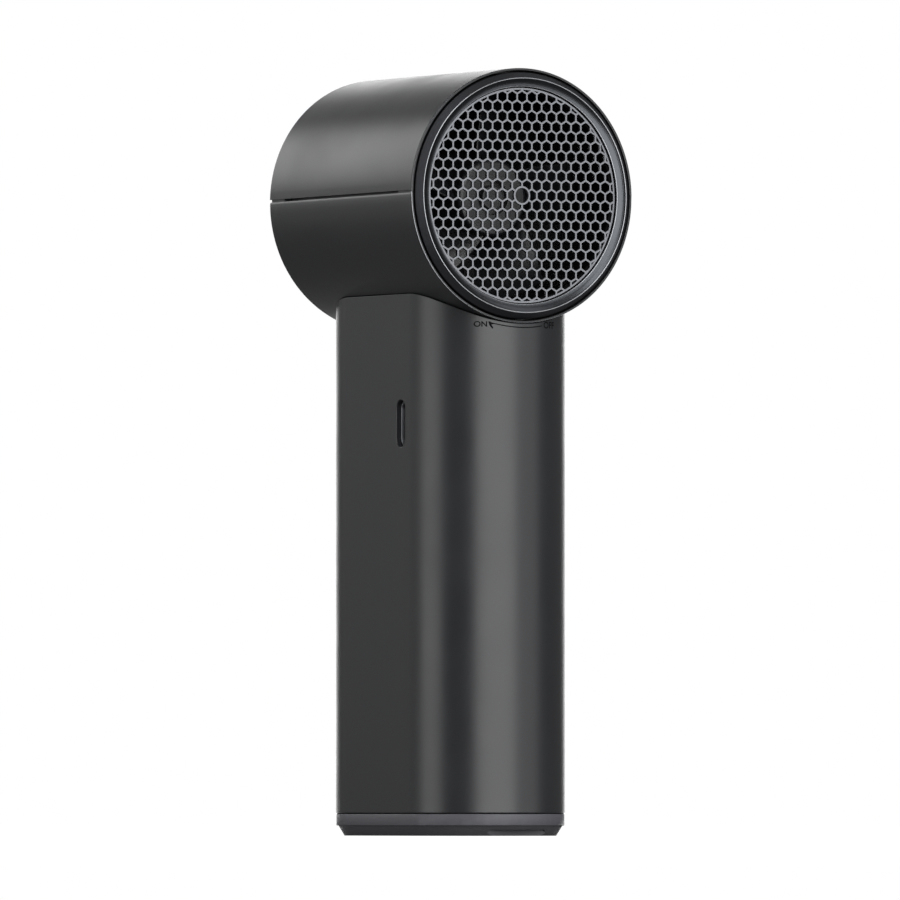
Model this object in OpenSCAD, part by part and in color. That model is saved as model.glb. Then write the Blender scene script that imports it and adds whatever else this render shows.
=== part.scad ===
// Handheld car dryer blower: a turbine head lying across the top of a flat-sided battery handle.
// Millimetres. +Z is up and the origin is the middle of the foot. The air comes in at +Y, leaves
// at -Y, and the charging socket is on the +X side.

/* [Head] */
// Radius of the head
head_r = 25; // [22:0.1:30]
// Width of the space round the air duct's bore, out to the head's surface
casing_w = 4; // [3.8:0.05:5]
// How far each end of the head lies inside the handle's depth
head_inset = 0.5; // [0:0.1:1.5]
// Wall of the head shells
shell_wall = 1.8; // [1.5:0.1:1.9]
// Wall of the thin lip at each end of the head shells
lip_wall = 0.4; // [0.3:0.05:0.6]
// Depth of the rebate behind each lip
rebate_len = 5.6; // [5.2:0.1:6]
// Width of the groove between the upper and the lower shell
seam_w = 0.5; // [0.3:0.1:0.8]
// How far the seam lies above the head's axis
seam_lift = 0.35; // [0:0.05:1]
// Length of the rear lip's tip, where the seam is closed
seam_stop = 0.5; // [0.3:0.1:1]
// Chamfer along the lower shell's edge at the seam
seam_chamfer = 0.45; // [0.2:0.05:0.8]

/* [Air duct] */
// Wall of the duct around the impeller
duct_wall = 1.3; // [1.1:0.05:1.5]
// Wall of the guide vanes' outer ring, let into the duct
vane_ring_wall = 0.85; // [0.7:0.05:0.9]
// Step from the duct's bore out to the outlet bezel's bore, which takes a nozzle
nozzle_step = 0.4; // [0.2:0.1:0.8]

/* [Intake ring and mesh] */
// Gap between the speed ring and the lip around it
ring_gap = 0.4; // [0.2:0.05:0.6]
// How far the ring stands out behind the head
ring_proud_w = 1.4; // [1:0.1:2.5]
// Width of the ring's outer flank
ring_flank_w = 1.2; // [0.8:0.1:1.6]
// Thickness of the ledge that carries the mesh
ledge_t = 1; // [0.8:0.1:1.2]
// How far the mesh lies below the end of the head
mesh_sunk = 0; // [0:0.1:0.8]
// How far the ring's inner edge stands above the mesh
mesh_recess = 0.5; // [0.2:0.1:0.8]
// Thickness of the mesh
mesh_t = 0.6; // [0.4:0.1:0.8]
// Distance between the mesh's cells
mesh_pitch = 2.23; // [2:0.01:3]
// Width of the ribs between the cells
mesh_rib = 0.34; // [0.25:0.01:0.5]
// Width of the rim around the mesh
mesh_rim = 0.35; // [0.3:0.05:0.6]
// Radius of the round hole in the middle of the mesh
mesh_eye_r = 1.5; // [1:0.1:1.6]

/* [Impeller and motor] */
// Distance from the mesh to the impeller
fan_depth = 11.3; // [10:0.1:13]
// Length of the impeller
fan_len = 11.5; // [10:0.5:12]
// Gap between the blade tips and the duct
tip_gap = 0.4; // [0.3:0.05:0.8]
// Number of impeller blades
blades = 5; // [4:1:9]
// Radius of the impeller hub's rear face
hub_rear_r = 7.8; // [7:0.05:8.4]
// Radius of the impeller hub at the guide vanes
hub_front_r = 10; // [9.6:0.1:11]
// Number of guide vanes, with the hollow strut
vanes = 7; // [5:2:11]
// Length of the guide vanes' hub
vane_hub_len = 17.4; // [17.4:0.1:19]
// Length of the tail cone
cone_len = 7; // [5:0.5:7.5]
// Radius of the motor shaft
shaft_r = 1.5; // [1:0.1:1.6]

/* [Handle] */
// Width of the handle across its flat sides
handle_w = 33; // [32:0.5:36]
// Wall of the handle
handle_wall = 1.6; // [1.2:0.1:1.8]
// Height of the seam between the base cap and the handle
seam_z = 4.4; // [4.4:0.1:6]
// Height of the foot pad
foot_h = 2; // [1.5:0.1:2.1]
// Step from the handle's side in to the foot pad
foot_inset = 0.5; // [0.2:0.1:1]
// Chamfer round the foot pad's lower edge
foot_chamfer = 1.2; // [0.5:0.1:1.6]
// Width of the pry notch at the back of the foot pad
notch_w = 14.6; // [8:0.2:18]
// Height of the pry notch
notch_h = 1.2; // [0.6:0.1:1.4]
// Depth of the pry notch, in from the handle's back
notch_in = 2.8; // [2:0.1:4]
// Gap between the saddle and the head
saddle_gap = 0.15; // [0.1:0.05:0.3]
// Height of the bay between the battery frame and the head
bay_h = 23.15; // [22:0.05:32]

/* [Battery and electronics] */
// Radius of a battery cell with its sleeve
cell_r = 10.65; // [9:0.05:12]
// Length of a battery cell
cell_len = 70; // [60:0.2:80]
// Gap between the two cells
cell_gap = 0.6; // [0.4:0.1:2]
// Room between the cells and the rails beside them
rail_room = 0.85; // [0.5:0.05:2]
// Height of the charging socket's middle above the battery frame's deck
port_rise = 3.65; // [3.4:0.05:8]
// Place of the charging socket along the handle's depth
port_y = 9.1; // [6:0.1:10]

/* [Hidden] */
$fn = 128;

// Clearances
fit = 0.05;          // a piece seated in another
run_clear = 0.05;    // a turning piece on its track
face_gap = 0.1;      // two end faces that don't carry anything
end_gap = 0.2;       // a turning piece and what stands beside it
loose = 0.3;         // an inner piece and the wall beside it

// Handle, from the cells outwards
handle_r = handle_w / 2;
handle_in = handle_wall;
spigot_wall = 1.2;
spigot_h = 4.5;
rail_w = 6.4;
rail_t = 2.9;
rail_margin = 0.5;
cell_y = cell_r + cell_gap / 2;
rail_y = cell_y + cell_r + rail_room + rail_t / 2;
handle_d = 2 * (rail_y + rail_t / 2 + rail_margin + spigot_wall + fit + handle_in);
handle_s = handle_d - handle_w;

// Heights, from the ground up
cap_inset = 0.1;
cap_top_z = seam_z - face_gap;
handle_z0 = seam_z + fit;
tray_t = 1.2;
tab_t = 0.2;
tray_z = cap_top_z + fit;
cell_z = tray_z + tray_t + tab_t;
deck_z = cell_z + cell_len + tab_t;
deck_t = 1.4;
deck_top_z = deck_z + deck_t;
port_z = deck_top_z + port_rise;
axis_z = deck_top_z + bay_h + head_r;
seam_at = axis_z + seam_lift;
neck_wall = 1.4;
neck_len = 8.5;
neck_z0 = axis_z - head_r - neck_len;

// Head, from the outside in
head_len = handle_d - 2 * head_inset;
duct_bore_r = head_r - casing_w;
nozzle_r = duct_bore_r + nozzle_step;
end_y = head_len / 2;
rebate_y = end_y - rebate_len;
shell_in_r = head_r - shell_wall;
lip_in_r = head_r - lip_wall;
duct_front_r = shell_in_r - loose;
duct_seat_w = 3;

// Speed ring, clip and mesh
ring_r = lip_in_r - ring_gap;
crest_r = ring_r - ring_flank_w;
mesh_lap = 0.1;
mesh_gap = 0.2;
mesh_r = duct_bore_r + mesh_lap;
recess_r = mesh_r + mesh_gap;
slope_w = 0.2;
mesh_y = end_y - mesh_sunk;
ledge_y = mesh_y - mesh_t;
ledge_w = 0.9;
ledge_in_r = recess_r - ledge_w;
collar_r = duct_bore_r + duct_wall;
collar_end_y = ledge_y - ledge_t - end_gap;
ring_bore_r = collar_r + run_clear;
ring_front_y = rebate_y + end_gap;
clip_t = 0.7;
clip_y = (ring_front_y + collar_end_y) / 2;
clip_bite = 0.4;
clip_in_r = collar_r - clip_bite + fit;
clip_out_r = ring_bore_r + clip_bite;
clip_opening = 30;
magnet = [4, 1, 2.6];
magnet_skin = 0.25;
magnet_out_r = ring_r - magnet_skin;

// Impeller
fan_rear_y = mesh_y - fan_depth;
fan_front_y = fan_rear_y - fan_len;
tip_r = duct_bore_r - tip_gap;
hub_edge = 1.1;
hub_side_t = 1.45;
hub_hollow_r = hub_rear_r - hub_side_t;
cap_r = 2.4;
cap_len = 1.5;
cap_groove = 1;
web_t = 1.6;
shaft_end_y = fan_rear_y - cap_len;
blade_turn = 43.5;
blade_root_t = 1.3;
blade_tip_t = 0.7;
blade_rear_gap = 0.9;
blade_rear_cut = 1.6;
blade_front_gap = 0.7;
blade_front_cut = 0.8;

// Guide vanes and motor
fan_gap = 0.6;
stator_y = fan_front_y - fan_gap;
vane_front_y = stator_y - vane_hub_len;
vane_margin = 0.8;
vane_edge = 0.25;
vane_belly = 0.7;
vane_root = 0.3;
hub_wall = 1.1;
motor_bore_r = hub_front_r - hub_wall;
motor_r = motor_bore_r - fit;
motor_sunk = 0.4;
motor_rear_y = stator_y - motor_sunk;
motor_len = 14;
can_wall = 0.6;
end_plate_t = 1.2;
motor_front_y = motor_rear_y - motor_len;
shoulder_t = 1.5;
bearing_r = 2 * shaft_r;
bearing_w = 2.5;
bearing_boss_t = 1.1;
bearing_boss_r = bearing_r + bearing_boss_t;
bearing_clear = 0.03;
front_bearing_y = motor_front_y + end_plate_t;
coil_reach = 0.8;
coil_room = 0.2;
core_y0 = front_bearing_y + bearing_w + coil_reach + coil_room;
core_y1 = motor_rear_y - bearing_w - coil_reach - coil_room;
core_r = motor_r - can_wall - fit;
yoke_t = 1.3;
tooth_w = 1.6;
winding_depth = 2.4;
air_gap = 0.3;
shoe_t = 0.6;
magnet_rotor_r = core_r - yoke_t - winding_depth - shoe_t - air_gap;
shoe_slot = 0.8;
coil_t = 0.75;
teeth = 6;

// Motor leads and the strut that they pass through
lead_r = 0.5;
lead_pitch = 1.8;
lead_y = (core_y0 + core_y1) / 2;
lead_rise = 6;
lead_step = 1.6;
lead_spread = 2.2;
slot_w = 1.4;
slot_len = 2 * lead_pitch + 2 * lead_r + 2 * 0.4;
strut_w = 3;

// The pry notch narrows upwards
notch_top_w = notch_w - 2 * 1.3;

// Posts between the battery frame and the neck
post_r = 2.6;
post_inset = 1;
post_y = rebate_y - post_inset - post_r;
screw_r = 1;
screw_head_r = 1.9;
screw_head_t = 0.8;
screw_bite = 6;
neck_screw_z = axis_z - shell_in_r - face_gap;

// Charging socket and its board
usb_w = 8.94;
usb_h = 3.16;
usb_depth = 7.35;
usb_wall = 0.3;
usb_sunk = 1;
usb_gap = 0.15;
usb_x = handle_r - usb_sunk;
usb_back_t = 0.8;
tongue = [6.05, 0.7, 6.68];
board_t = 1.2;
board_y = port_y - usb_h / 2;
board_half_w = handle_r - handle_in - neck_wall - fit - 1.5 * loose;
board_in_neck = 4;
board_top_z = neck_z0 + board_in_neck;
clip_w = 3;
clip_h = 2;
clip_wall = 1;
chip = [4, 1.1, 5];
controller = [6, 1, 6];
coil_r = 3;
coil_h = 3.2;
capacitor_r = 1.8;
capacitor_h = 4.5;
parts_pitch = 5.2;
tab_w = 8;

// --- Frames of reference and shared shapes ---

// The head's own frame: x and y as seen from behind, z along the axis towards the intake
module head_frame() translate([0, 0, axis_z]) rotate([90, 0, 180]) children();

// A body of revolution about the head's axis, from [radius, y] points
module revolve(points) head_frame() rotate_extrude() polygon(points);

// A tube or disc about the head's axis from y0 to y1
module barrel(r, y0, y1, hole = 0) head_frame() translate([0, 0, y0]) linear_extrude(y1 - y0)
  difference() {
    circle(r);
    if (hole > 0) circle(hole);
  }

// A slot shape: two round ends a distance s apart along y
module slot_outline(r, s) {
  translate([-r, -s / 2]) square([2 * r, s]);
  for (side = [-1, 1]) translate([0, side * s / 2]) circle(r);
}

// The handle's outline, moved inwards
module handle_outline(inset = 0) slot_outline(handle_r - inset, handle_s);

module handle_tube(inset, wall, z0, z1) translate([0, 0, z0]) linear_extrude(z1 - z0)
  difference() {
    handle_outline(inset);
    handle_outline(inset + wall);
  }

// The passage for the motor leads, from the handle into the motor
module lead_slot() translate([-slot_w / 2, lead_y - slot_len / 2, axis_z - head_r - shell_wall])
  cube([slot_w, slot_len, head_r + shell_wall - core_r + yoke_t]);

// A flat-headed cross screw hanging from the origin, its head's top there
module screw(len) {
  bit = [0.6 * 2 * screw_head_r, 0.2 * screw_head_r, 0.5 * screw_head_t];
  difference() {
    union() {
      translate([0, 0, -screw_head_t]) cylinder(r = screw_head_r, h = screw_head_t, $fn = 32);
      translate([0, 0, -len]) cylinder(r = screw_r, h = len - screw_head_t / 2, $fn = 32);
    }
    for (turn = [0, 90]) rotate(turn) translate([-bit[0] / 2, -bit[1] / 2, -bit[2]])
      cube([bit[0], bit[1], 2 * bit[2]]);
  }
}

// --- Head casing ---

// Both half shells as one tube with a rebate at each end
module shell_blank() revolve([
  [head_r, -end_y], [head_r, end_y], [lip_in_r, end_y], [lip_in_r, rebate_y],
  [shell_in_r, rebate_y], [shell_in_r, -rebate_y], [lip_in_r, -rebate_y], [lip_in_r, -end_y],
]);

// The space above (or with side = -1 below) the seam, which ends short of the rear lip's tip
module seam_half(side) {
  reach = 2 * head_r + 2;
  low = seam_at + (side > 0 ? 0 : -reach);
  translate([-reach / 2, -end_y - 1, low + side * seam_w / 2])
    cube([reach, head_len + 1 - seam_stop, reach]);
  translate([-reach / 2, end_y - seam_stop, low]) cube([reach, seam_stop + 1, reach]);
}

module head_shell_upper() color("#3a3b3d") intersection() {
  shell_blank();
  seam_half(1);
}

// The lower shell carries the neck that plugs into the handle
module head_shell_lower() color("#38393b") {
  neck_inset = handle_in + fit;
  difference() {
    union() {
      intersection() {
        shell_blank();
        seam_half(-1);
      }
      difference() {
        union() {
          handle_tube(neck_inset, neck_wall, neck_z0, axis_z);
          for (side = [-1, 1]) translate([0, side * post_y, neck_z0])
            cylinder(r = post_r, h = neck_len + shell_wall);
        }
        barrel(head_r - lip_wall / 2, -handle_d, handle_d);
      }
      seam_tongue();
    }
    seam_edge();
    for (side = [-1, 1]) translate([0, side * post_y, 0]) {
      translate([0, 0, neck_z0 - 1]) cylinder(r = screw_r + face_gap, h = head_r);
      translate([0, 0, neck_screw_z - screw_head_t])
        cylinder(r = screw_head_r + face_gap, h = head_r / 2);
    }
    lead_slot();
    hall_pocket();
  }
}

// A tongue that closes the seam from inside and lines the two shells up
module seam_tongue() for (side = [-1, 1]) {
  tongue_t = 0.5 * shell_wall;
  translate([side > 0 ? shell_in_r : -shell_in_r - tongue_t, -rebate_y, seam_at - 2 * seam_w])
    cube([tongue_t, 2 * rebate_y, 2.5 * seam_w]);
}

// The cut that chamfers the lower shell's two long edges at the seam
module seam_edge() for (side = [-1, 1])
  translate([side * head_r, -end_y - 1, seam_at - seam_w / 2]) rotate([0, 45, 0])
    cube([sqrt(2) * seam_chamfer, 2 * (head_len + 1 - seam_stop), sqrt(2) * seam_chamfer],
      center = true);

// Sensor board's pocket in the lower shell's floor
hall = [8, 4.6, 0.8];
hall_z = axis_z - collar_r - end_gap - hall[2];
hall_y0 = rebate_y - end_gap - loose - hall[1];
module hall_pocket() translate([-hall[0] / 2 - face_gap, hall_y0 - face_gap, hall_z])
  cube([hall[0] + 2 * face_gap, hall[1] + 2 * face_gap, 4 * hall[2]]);

// The fixed bezel round the outlet mirrors the speed ring
module outlet_bezel() color("#25262a") {
  groove = 2 * ring_gap;
  lead_in = 3 * slope_w;
  revolve([
    [lip_in_r - fit, -rebate_y - face_gap], [lip_in_r - fit, -end_y + groove],
    [ring_r, -end_y + groove], [ring_r, -end_y], [crest_r, -end_y - ring_proud_w],
    [nozzle_r + slope_w, -end_y], [nozzle_r, -end_y + lead_in],
    [nozzle_r, -rebate_y - face_gap],
  ]);
}

// --- Air path ---

module air_duct() color("#1b1c1e") difference() {
  union() {
    revolve([
      [duct_bore_r, stator_y], [duct_bore_r, collar_end_y], [collar_r, collar_end_y],
      [collar_r, clip_y + clip_t / 2 + fit], [collar_r - clip_bite, clip_y + clip_t / 2 + fit],
      [collar_r - clip_bite, clip_y - clip_t / 2 - fit], [collar_r, clip_y - clip_t / 2 - fit],
      [collar_r, stator_y + duct_seat_w], [duct_front_r, stator_y + duct_seat_w],
      [duct_front_r, -rebate_y], [duct_bore_r + vane_ring_wall + fit, -rebate_y],
      [duct_bore_r + vane_ring_wall + fit, stator_y],
    ]);
    for (y = [-rebate_y, hall_y0 - duct_seat_w / 2 - duct_seat_w])
      barrel(shell_in_r - fit, y, y + duct_seat_w, collar_r - 4 * fit);
  }
  lead_slot();
}

module guide_vanes() color("#2b2c30") difference() {
  union() {
    barrel(duct_bore_r + vane_ring_wall, -rebate_y, stator_y - fit, duct_bore_r);
    revolve([
      [motor_bore_r, stator_y], [hub_front_r, stator_y], [hub_front_r, vane_front_y],
      [motor_bore_r, vane_front_y], [motor_bore_r, motor_front_y - shoulder_t],
      [motor_bore_r - hub_wall, motor_front_y - shoulder_t],
      [motor_bore_r - hub_wall, motor_front_y], [motor_bore_r, motor_front_y],
    ]);
    intersection() {
      head_frame() {
        for (k = [1:vanes - 1]) rotate(-90 + k * 360 / vanes) guide_vane();
        rotate(-90) strut();
      }
      barrel(duct_bore_r + vane_ring_wall / 2, vane_front_y, stator_y, hub_front_r - hub_wall / 2);
    }
  }
  lead_slot();
}

// One curved vane, its section in [sideways, along the axis] and drawn out along the radius
module guide_vane() {
  root_y = vane_front_y + vane_margin;
  chord = stator_y - vane_margin - root_y;
  lean = 38;
  steps = 7;
  side_at = function (s) chord * (1 - cos(lean * s)) / sin(lean);
  half = function (s) vane_edge + (vane_belly - vane_edge) * sin(180 * min(1, 0.12 + 0.8 * s));
  front = [for (i = [0:steps]) let (s = i / steps) [side_at(s) + half(s), root_y + chord * s]];
  back = [for (i = [steps:-1:0]) let (s = i / steps) [side_at(s) - half(s), root_y + chord * s]];
  radial_extrude(hub_front_r - hub_wall, duct_bore_r + vane_root) polygon(concat(front, back));
}

module radial_extrude(r0, r1) translate([r0, 0, 0]) rotate([90, 0, 90]) linear_extrude(r1 - r0)
  children();

// The hollow strut that takes the leads to the motor
module strut() {
  y0 = vane_front_y + vane_margin + strut_w / 2;
  y1 = stator_y - vane_margin - strut_w / 2;
  radial_extrude(hub_front_r - hub_wall, duct_bore_r + vane_root) translate([0, (y0 + y1) / 2])
    slot_outline(strut_w / 2, y1 - y0);
}

// A rounded cone with a spigot that plugs into the vane hub
module tail_cone() color("#303136") {
  steps = 10;
  nose = [for (i = [0:steps]) let (a = 90 * i / steps)
    [hub_front_r * cos(a), vane_front_y - cone_len * sin(a)]];
  spigot_y = motor_front_y - shoulder_t - face_gap;
  revolve(concat(nose, [[0, spigot_y], [motor_bore_r - fit, spigot_y],
    [motor_bore_r - fit, vane_front_y]]));
}

// --- Speed ring at the intake ---

module speed_ring() color("#232428") difference() {
  groove_r = clip_out_r + face_gap;
  revolve([
    [ring_r, ring_front_y], [ring_r, end_y], [crest_r, end_y + ring_proud_w],
    [recess_r, mesh_y + mesh_recess], [recess_r, ledge_y],
    [ledge_in_r, ledge_y],
    [ledge_in_r, ledge_y - ledge_t], [ring_bore_r, ledge_y - ledge_t],
    [ring_bore_r, clip_y + clip_t / 2 + face_gap], [groove_r, clip_y + clip_t / 2 + face_gap],
    [groove_r, clip_y - clip_t / 2 - face_gap], [ring_bore_r, clip_y - clip_t / 2 - face_gap],
    [ring_bore_r, ring_front_y],
  ]);
  magnet_block(fit);
}

// Block at the bottom of the ring for the sensor magnet
module magnet_block(grow = 0) head_frame()
  translate([-magnet[0] / 2 - grow, -magnet_out_r - grow, ring_front_y - grow])
    cube([magnet[0] + 2 * grow, magnet[1] + 2 * grow, magnet[2] + 2 * grow]);

module ring_magnet() color("#8d9095") magnet_block();

// Perforated disc: pointed hexagonal cells in rows, and a round eye in the middle
module intake_mesh() color("#8e9196") {
  row_h = mesh_pitch * sin(60);
  open_r = mesh_r - mesh_rim;
  rows = ceil(mesh_r / row_h);
  cell_corner_r = (mesh_pitch - mesh_rib) / 2 / cos(30);
  head_frame() translate([0, 0, ledge_y]) linear_extrude(mesh_t) difference() {
    circle(mesh_r);
    intersection() {
      difference() {
        circle(open_r);
        circle(mesh_eye_r + mesh_rim);
      }
      for (row = [-rows:rows], col = [-rows:rows]) {
        at = [(col + (row % 2 == 0 ? 0 : 0.5)) * mesh_pitch, row * row_h];
        if (norm(at) < open_r + cell_corner_r && norm(at) > mesh_pitch / 2)
          translate(at) rotate(30) circle(cell_corner_r, $fn = 6);
      }
    }
    circle(mesh_eye_r);
  }
}

// Open snap ring that holds the speed ring on the duct's collar
module retaining_clip() color("#a5a7aa") difference() {
  barrel(clip_out_r, clip_y - clip_t / 2, clip_y + clip_t / 2, clip_in_r);
  head_frame() translate([0, 0, clip_y - clip_t]) linear_extrude(2 * clip_t) polygon([
    [0, 0], [-ring_r * tan(clip_opening / 2), ring_r], [ring_r * tan(clip_opening / 2), ring_r],
  ]);
}

module hall_sensor_board() color("#1f5f46")
  translate([-hall[0] / 2, hall_y0, hall_z]) cube(hall);

// --- Impeller ---

module impeller() color("#3d3e42") union() {
  impeller_hub();
  head_frame() for (k = [0:blades - 1]) rotate(blade_turn + k * 360 / blades) impeller_blade();
}

// Cup-shaped hub, growing towards the guide vanes
module impeller_hub() {
  steps = 8;
  side = [for (i = [0:steps]) let (s = i / steps)
    [hub_rear_r + (hub_front_r - hub_rear_r) * pow(s, 1.5),
     fan_rear_y - hub_edge - (fan_len - hub_edge) * s]];
  boss_r = bearing_r + loose;
  boss_y = fan_front_y + fan_gap;
  revolve(concat(
    [[cap_r + cap_groove, fan_rear_y]],
    [for (a = [0:22.5:67.5])
      [hub_rear_r - hub_edge * (1 - sin(a)), fan_rear_y - hub_edge * (1 - cos(a))]],
    side,
    [[hub_hollow_r, fan_front_y], [hub_hollow_r, shaft_end_y - web_t],
     [boss_r, shaft_end_y - web_t], [boss_r, boss_y], [shaft_r, boss_y],
     [shaft_r, shaft_end_y], [cap_r + cap_groove, shaft_end_y]]
  ));
}

// One twisted blade, swept back: closed sections from inside the hub out to the tip. Seen from
// behind the fan turns anticlockwise, with its rear edges ahead.
module impeller_blade() {
  spans = 7;
  chords = 7;
  root_r = hub_rear_r - hub_side_t / 2;
  sweep = [-38, 15.5];
  wrap_root = -46;
  wrap_tip = -32;
  at = function (u, s, side) let (
    r = root_r + (tip_r - root_r) * u,
    y_rear = fan_rear_y - blade_rear_gap - blade_rear_cut * u * u,
    y_front = fan_front_y + blade_front_gap + blade_front_cut * u,
    turn = sweep[0] * u + sweep[1] * u * u + (wrap_root + (wrap_tip - wrap_root) * u) * pow(s, 0.85),
    half = (blade_root_t + (blade_tip_t - blade_root_t) * u) / 2 * (0.25 + 0.75 * sin(180 * s)),
    a = turn + side * half / r * 180 / PI
  ) [r * cos(a), r * sin(a), y_rear + (y_front - y_rear) * s - side * half * 0.6];
  section = function (u) concat(
    [for (j = [0:chords]) at(u, j / chords, 1)],
    [for (j = [chords:-1:0]) at(u, j / chords, -1)]
  );
  n = 2 * (chords + 1);
  points = [for (i = [0:spans]) each section(i / spans)];
  sides = [for (i = [0:spans - 1], j = [0:n - 1]) let (k = (j + 1) % n, a = i * n, b = (i + 1) * n)
    each [[a + j, a + k, b + k], [a + j, b + k, b + j]]];
  strip = [for (j = [0:chords - 1]) each [[j, n - 1 - j, n - 2 - j], [j, n - 2 - j, j + 1]]];
  root = [for (t = strip) [t[0], t[1], t[2]]];
  tip = [for (t = strip) [t[0] + spans * n, t[2] + spans * n, t[1] + spans * n]];
  polyhedron(points, concat(sides, root, tip));
}

module impeller_cap() color("#46474b") barrel(cap_r, shaft_end_y, fan_rear_y);

// --- Motor ---

module motor_shaft() color("#c4c6c9") barrel(shaft_r, front_bearing_y + face_gap, shaft_end_y);

module rotor_magnet() color("#6f7276")
  barrel(magnet_rotor_r, core_y0 - air_gap, core_y1 + air_gap, shaft_r);

module motor_bearings() color("#d0d2d5")
  for (y = [front_bearing_y, motor_rear_y - bearing_w])
    barrel(bearing_r, y, y + bearing_w, shaft_r + bearing_clear);

module motor_can() color("#9a9da1") difference() {
  revolve([
    [bearing_r, motor_rear_y], [motor_r, motor_rear_y], [motor_r, front_bearing_y],
    [motor_r - can_wall, front_bearing_y], [motor_r - can_wall, motor_rear_y - end_plate_t],
    [bearing_boss_r, motor_rear_y - end_plate_t], [bearing_boss_r, motor_rear_y - bearing_w],
    [bearing_r, motor_rear_y - bearing_w],
  ]);
  lead_slot();
}

module motor_end_cap() color("#2e2f33") revolve([
  [0, motor_front_y], [motor_r, motor_front_y], [motor_r, front_bearing_y],
  [bearing_boss_r, front_bearing_y], [bearing_boss_r, front_bearing_y + bearing_w],
  [bearing_r, front_bearing_y + bearing_w], [bearing_r, front_bearing_y], [0, front_bearing_y],
]);

// Laminated ring with six teeth and their shoes
module stator_core() color("#70737a") head_frame() translate([0, 0, core_y0])
  linear_extrude(core_y1 - core_y0) {
    bore = magnet_rotor_r + air_gap;
    difference() {
      circle(core_r);
      circle(core_r - yoke_t);
    }
    for (k = [0:teeth - 1]) rotate(k * 360 / teeth)
      translate([bore + shoe_t / 2, -tooth_w / 2])
        square([core_r - yoke_t / 2 - bore - shoe_t / 2, tooth_w]);
    difference() {
      circle(bore + shoe_t);
      circle(bore);
      for (k = [0:teeth - 1]) rotate((k + 0.5) * 360 / teeth) translate([0, -shoe_slot / 2])
        square([core_r, shoe_slot]);
    }
  }

// One winding round each tooth
module stator_coils() color("#b4662c") head_frame() for (k = [0:teeth - 1])
  rotate(k * 360 / teeth) {
    r0 = magnet_rotor_r + air_gap + shoe_t + face_gap;
    half = tooth_w / 2 + coil_t;
    depth = sqrt(pow(core_r - yoke_t - face_gap, 2) - half * half) - r0;
    difference() {
      translate([r0, -half, core_y0 - coil_reach])
        cube([depth, 2 * half, core_y1 - core_y0 + 2 * coil_reach]);
      translate([0, -tooth_w / 2, core_y0]) cube([core_r, tooth_w, core_y1 - core_y0]);
    }
  }

// Three insulated leads: up from the board, a slope under the head, and up through the strut
module motor_leads() color("#b33a30") for (k = [-1:1]) {
  x = lead_spread * k;
  y = lead_y + lead_pitch * k;
  start_y = board_y - board_t - lead_r - fit;
  top_z = axis_z - head_r - 1.4 * lead_step + lead_step * k;
  bend_z = top_z - lead_rise;
  low_z = neck_z0 - lead_rise / 2;
  lead_run([[x, start_y, low_z], [x, start_y, bend_z], [0, y, top_z],
    [0, y, axis_z - core_r - face_gap]]);
}

// Straight stretches of a round wire through a list of points
module lead_run(path) for (i = [1:len(path) - 1]) {
  d = path[i] - path[i - 1];
  translate(path[i - 1]) rotate([0, acos(d[2] / norm(d)), atan2(d[1], d[0])])
    cylinder(r = lead_r, h = norm(d), $fn = 8);
}

// --- Handle ---

module handle_shell() color("#3b3c3e") difference() {
  handle_tube(0, handle_wall, handle_z0, axis_z);
  barrel(head_r + saddle_gap, -handle_d, handle_d);
  translate([handle_r - 2 * handle_wall, port_y, port_z]) rotate([90, 0, 90])
    linear_extrude(3 * handle_wall) slot_outline(usb_h / 2 + usb_gap, usb_w - usb_h);
}

// The frame that holds the cells and ties the base to the head
module battery_frame() color("#26282b") difference() {
  union() {
    translate([0, 0, tray_z]) linear_extrude(tray_t)
      handle_outline(handle_in + fit + spigot_wall + loose);
    translate([0, 0, deck_z]) linear_extrude(deck_t) handle_outline(handle_in + fit);
    for (side = [-1, 1]) {
      translate([-rail_w / 2, side * rail_y - rail_t / 2, tray_z])
        cube([rail_w, rail_t, deck_top_z - tray_z]);
      translate([0, side * post_y, deck_z]) cylinder(r = post_r, h = neck_z0 - deck_z);
      translate([side * board_half_w / 2 - clip_w / 2, board_y - board_t - clip_wall - fit, deck_z])
        cube([clip_w, clip_wall, deck_t + clip_h]);
    }
  }
  for (side = [-1, 1]) {
    translate([0, side * post_y, neck_z0 - screw_bite - face_gap])
      cylinder(r = screw_r, h = 2 * screw_bite);
    translate([0, side * rail_y, tray_z - 1]) cylinder(r = screw_r, h = screw_bite + 1 + face_gap);
  }
  translate([usb_x - usb_depth - loose, port_y - usb_h / 2 - loose, port_z - usb_w / 2 - loose])
    cube([usb_depth + handle_w, usb_h + 2 * loose, usb_w + 2 * loose]);
}

module battery_cells() color("#3f6fa0") for (side = [-1, 1])
  translate([0, side * cell_y, cell_z]) cylinder(r = cell_r, h = cell_len);

// Nickel strips that join the cells at both ends
module cell_tabs() color("#b9bbbd") for (z = [cell_z - tab_t, cell_z + cell_len])
  translate([-tab_w / 2, -cell_y - tab_w / 2, z]) cube([tab_w, 2 * cell_y + tab_w, tab_t]);

module main_board() color("#1d5a43") translate([-board_half_w, board_y - board_t, deck_top_z])
  cube([2 * board_half_w, board_t, board_top_z - deck_top_z]);

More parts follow.
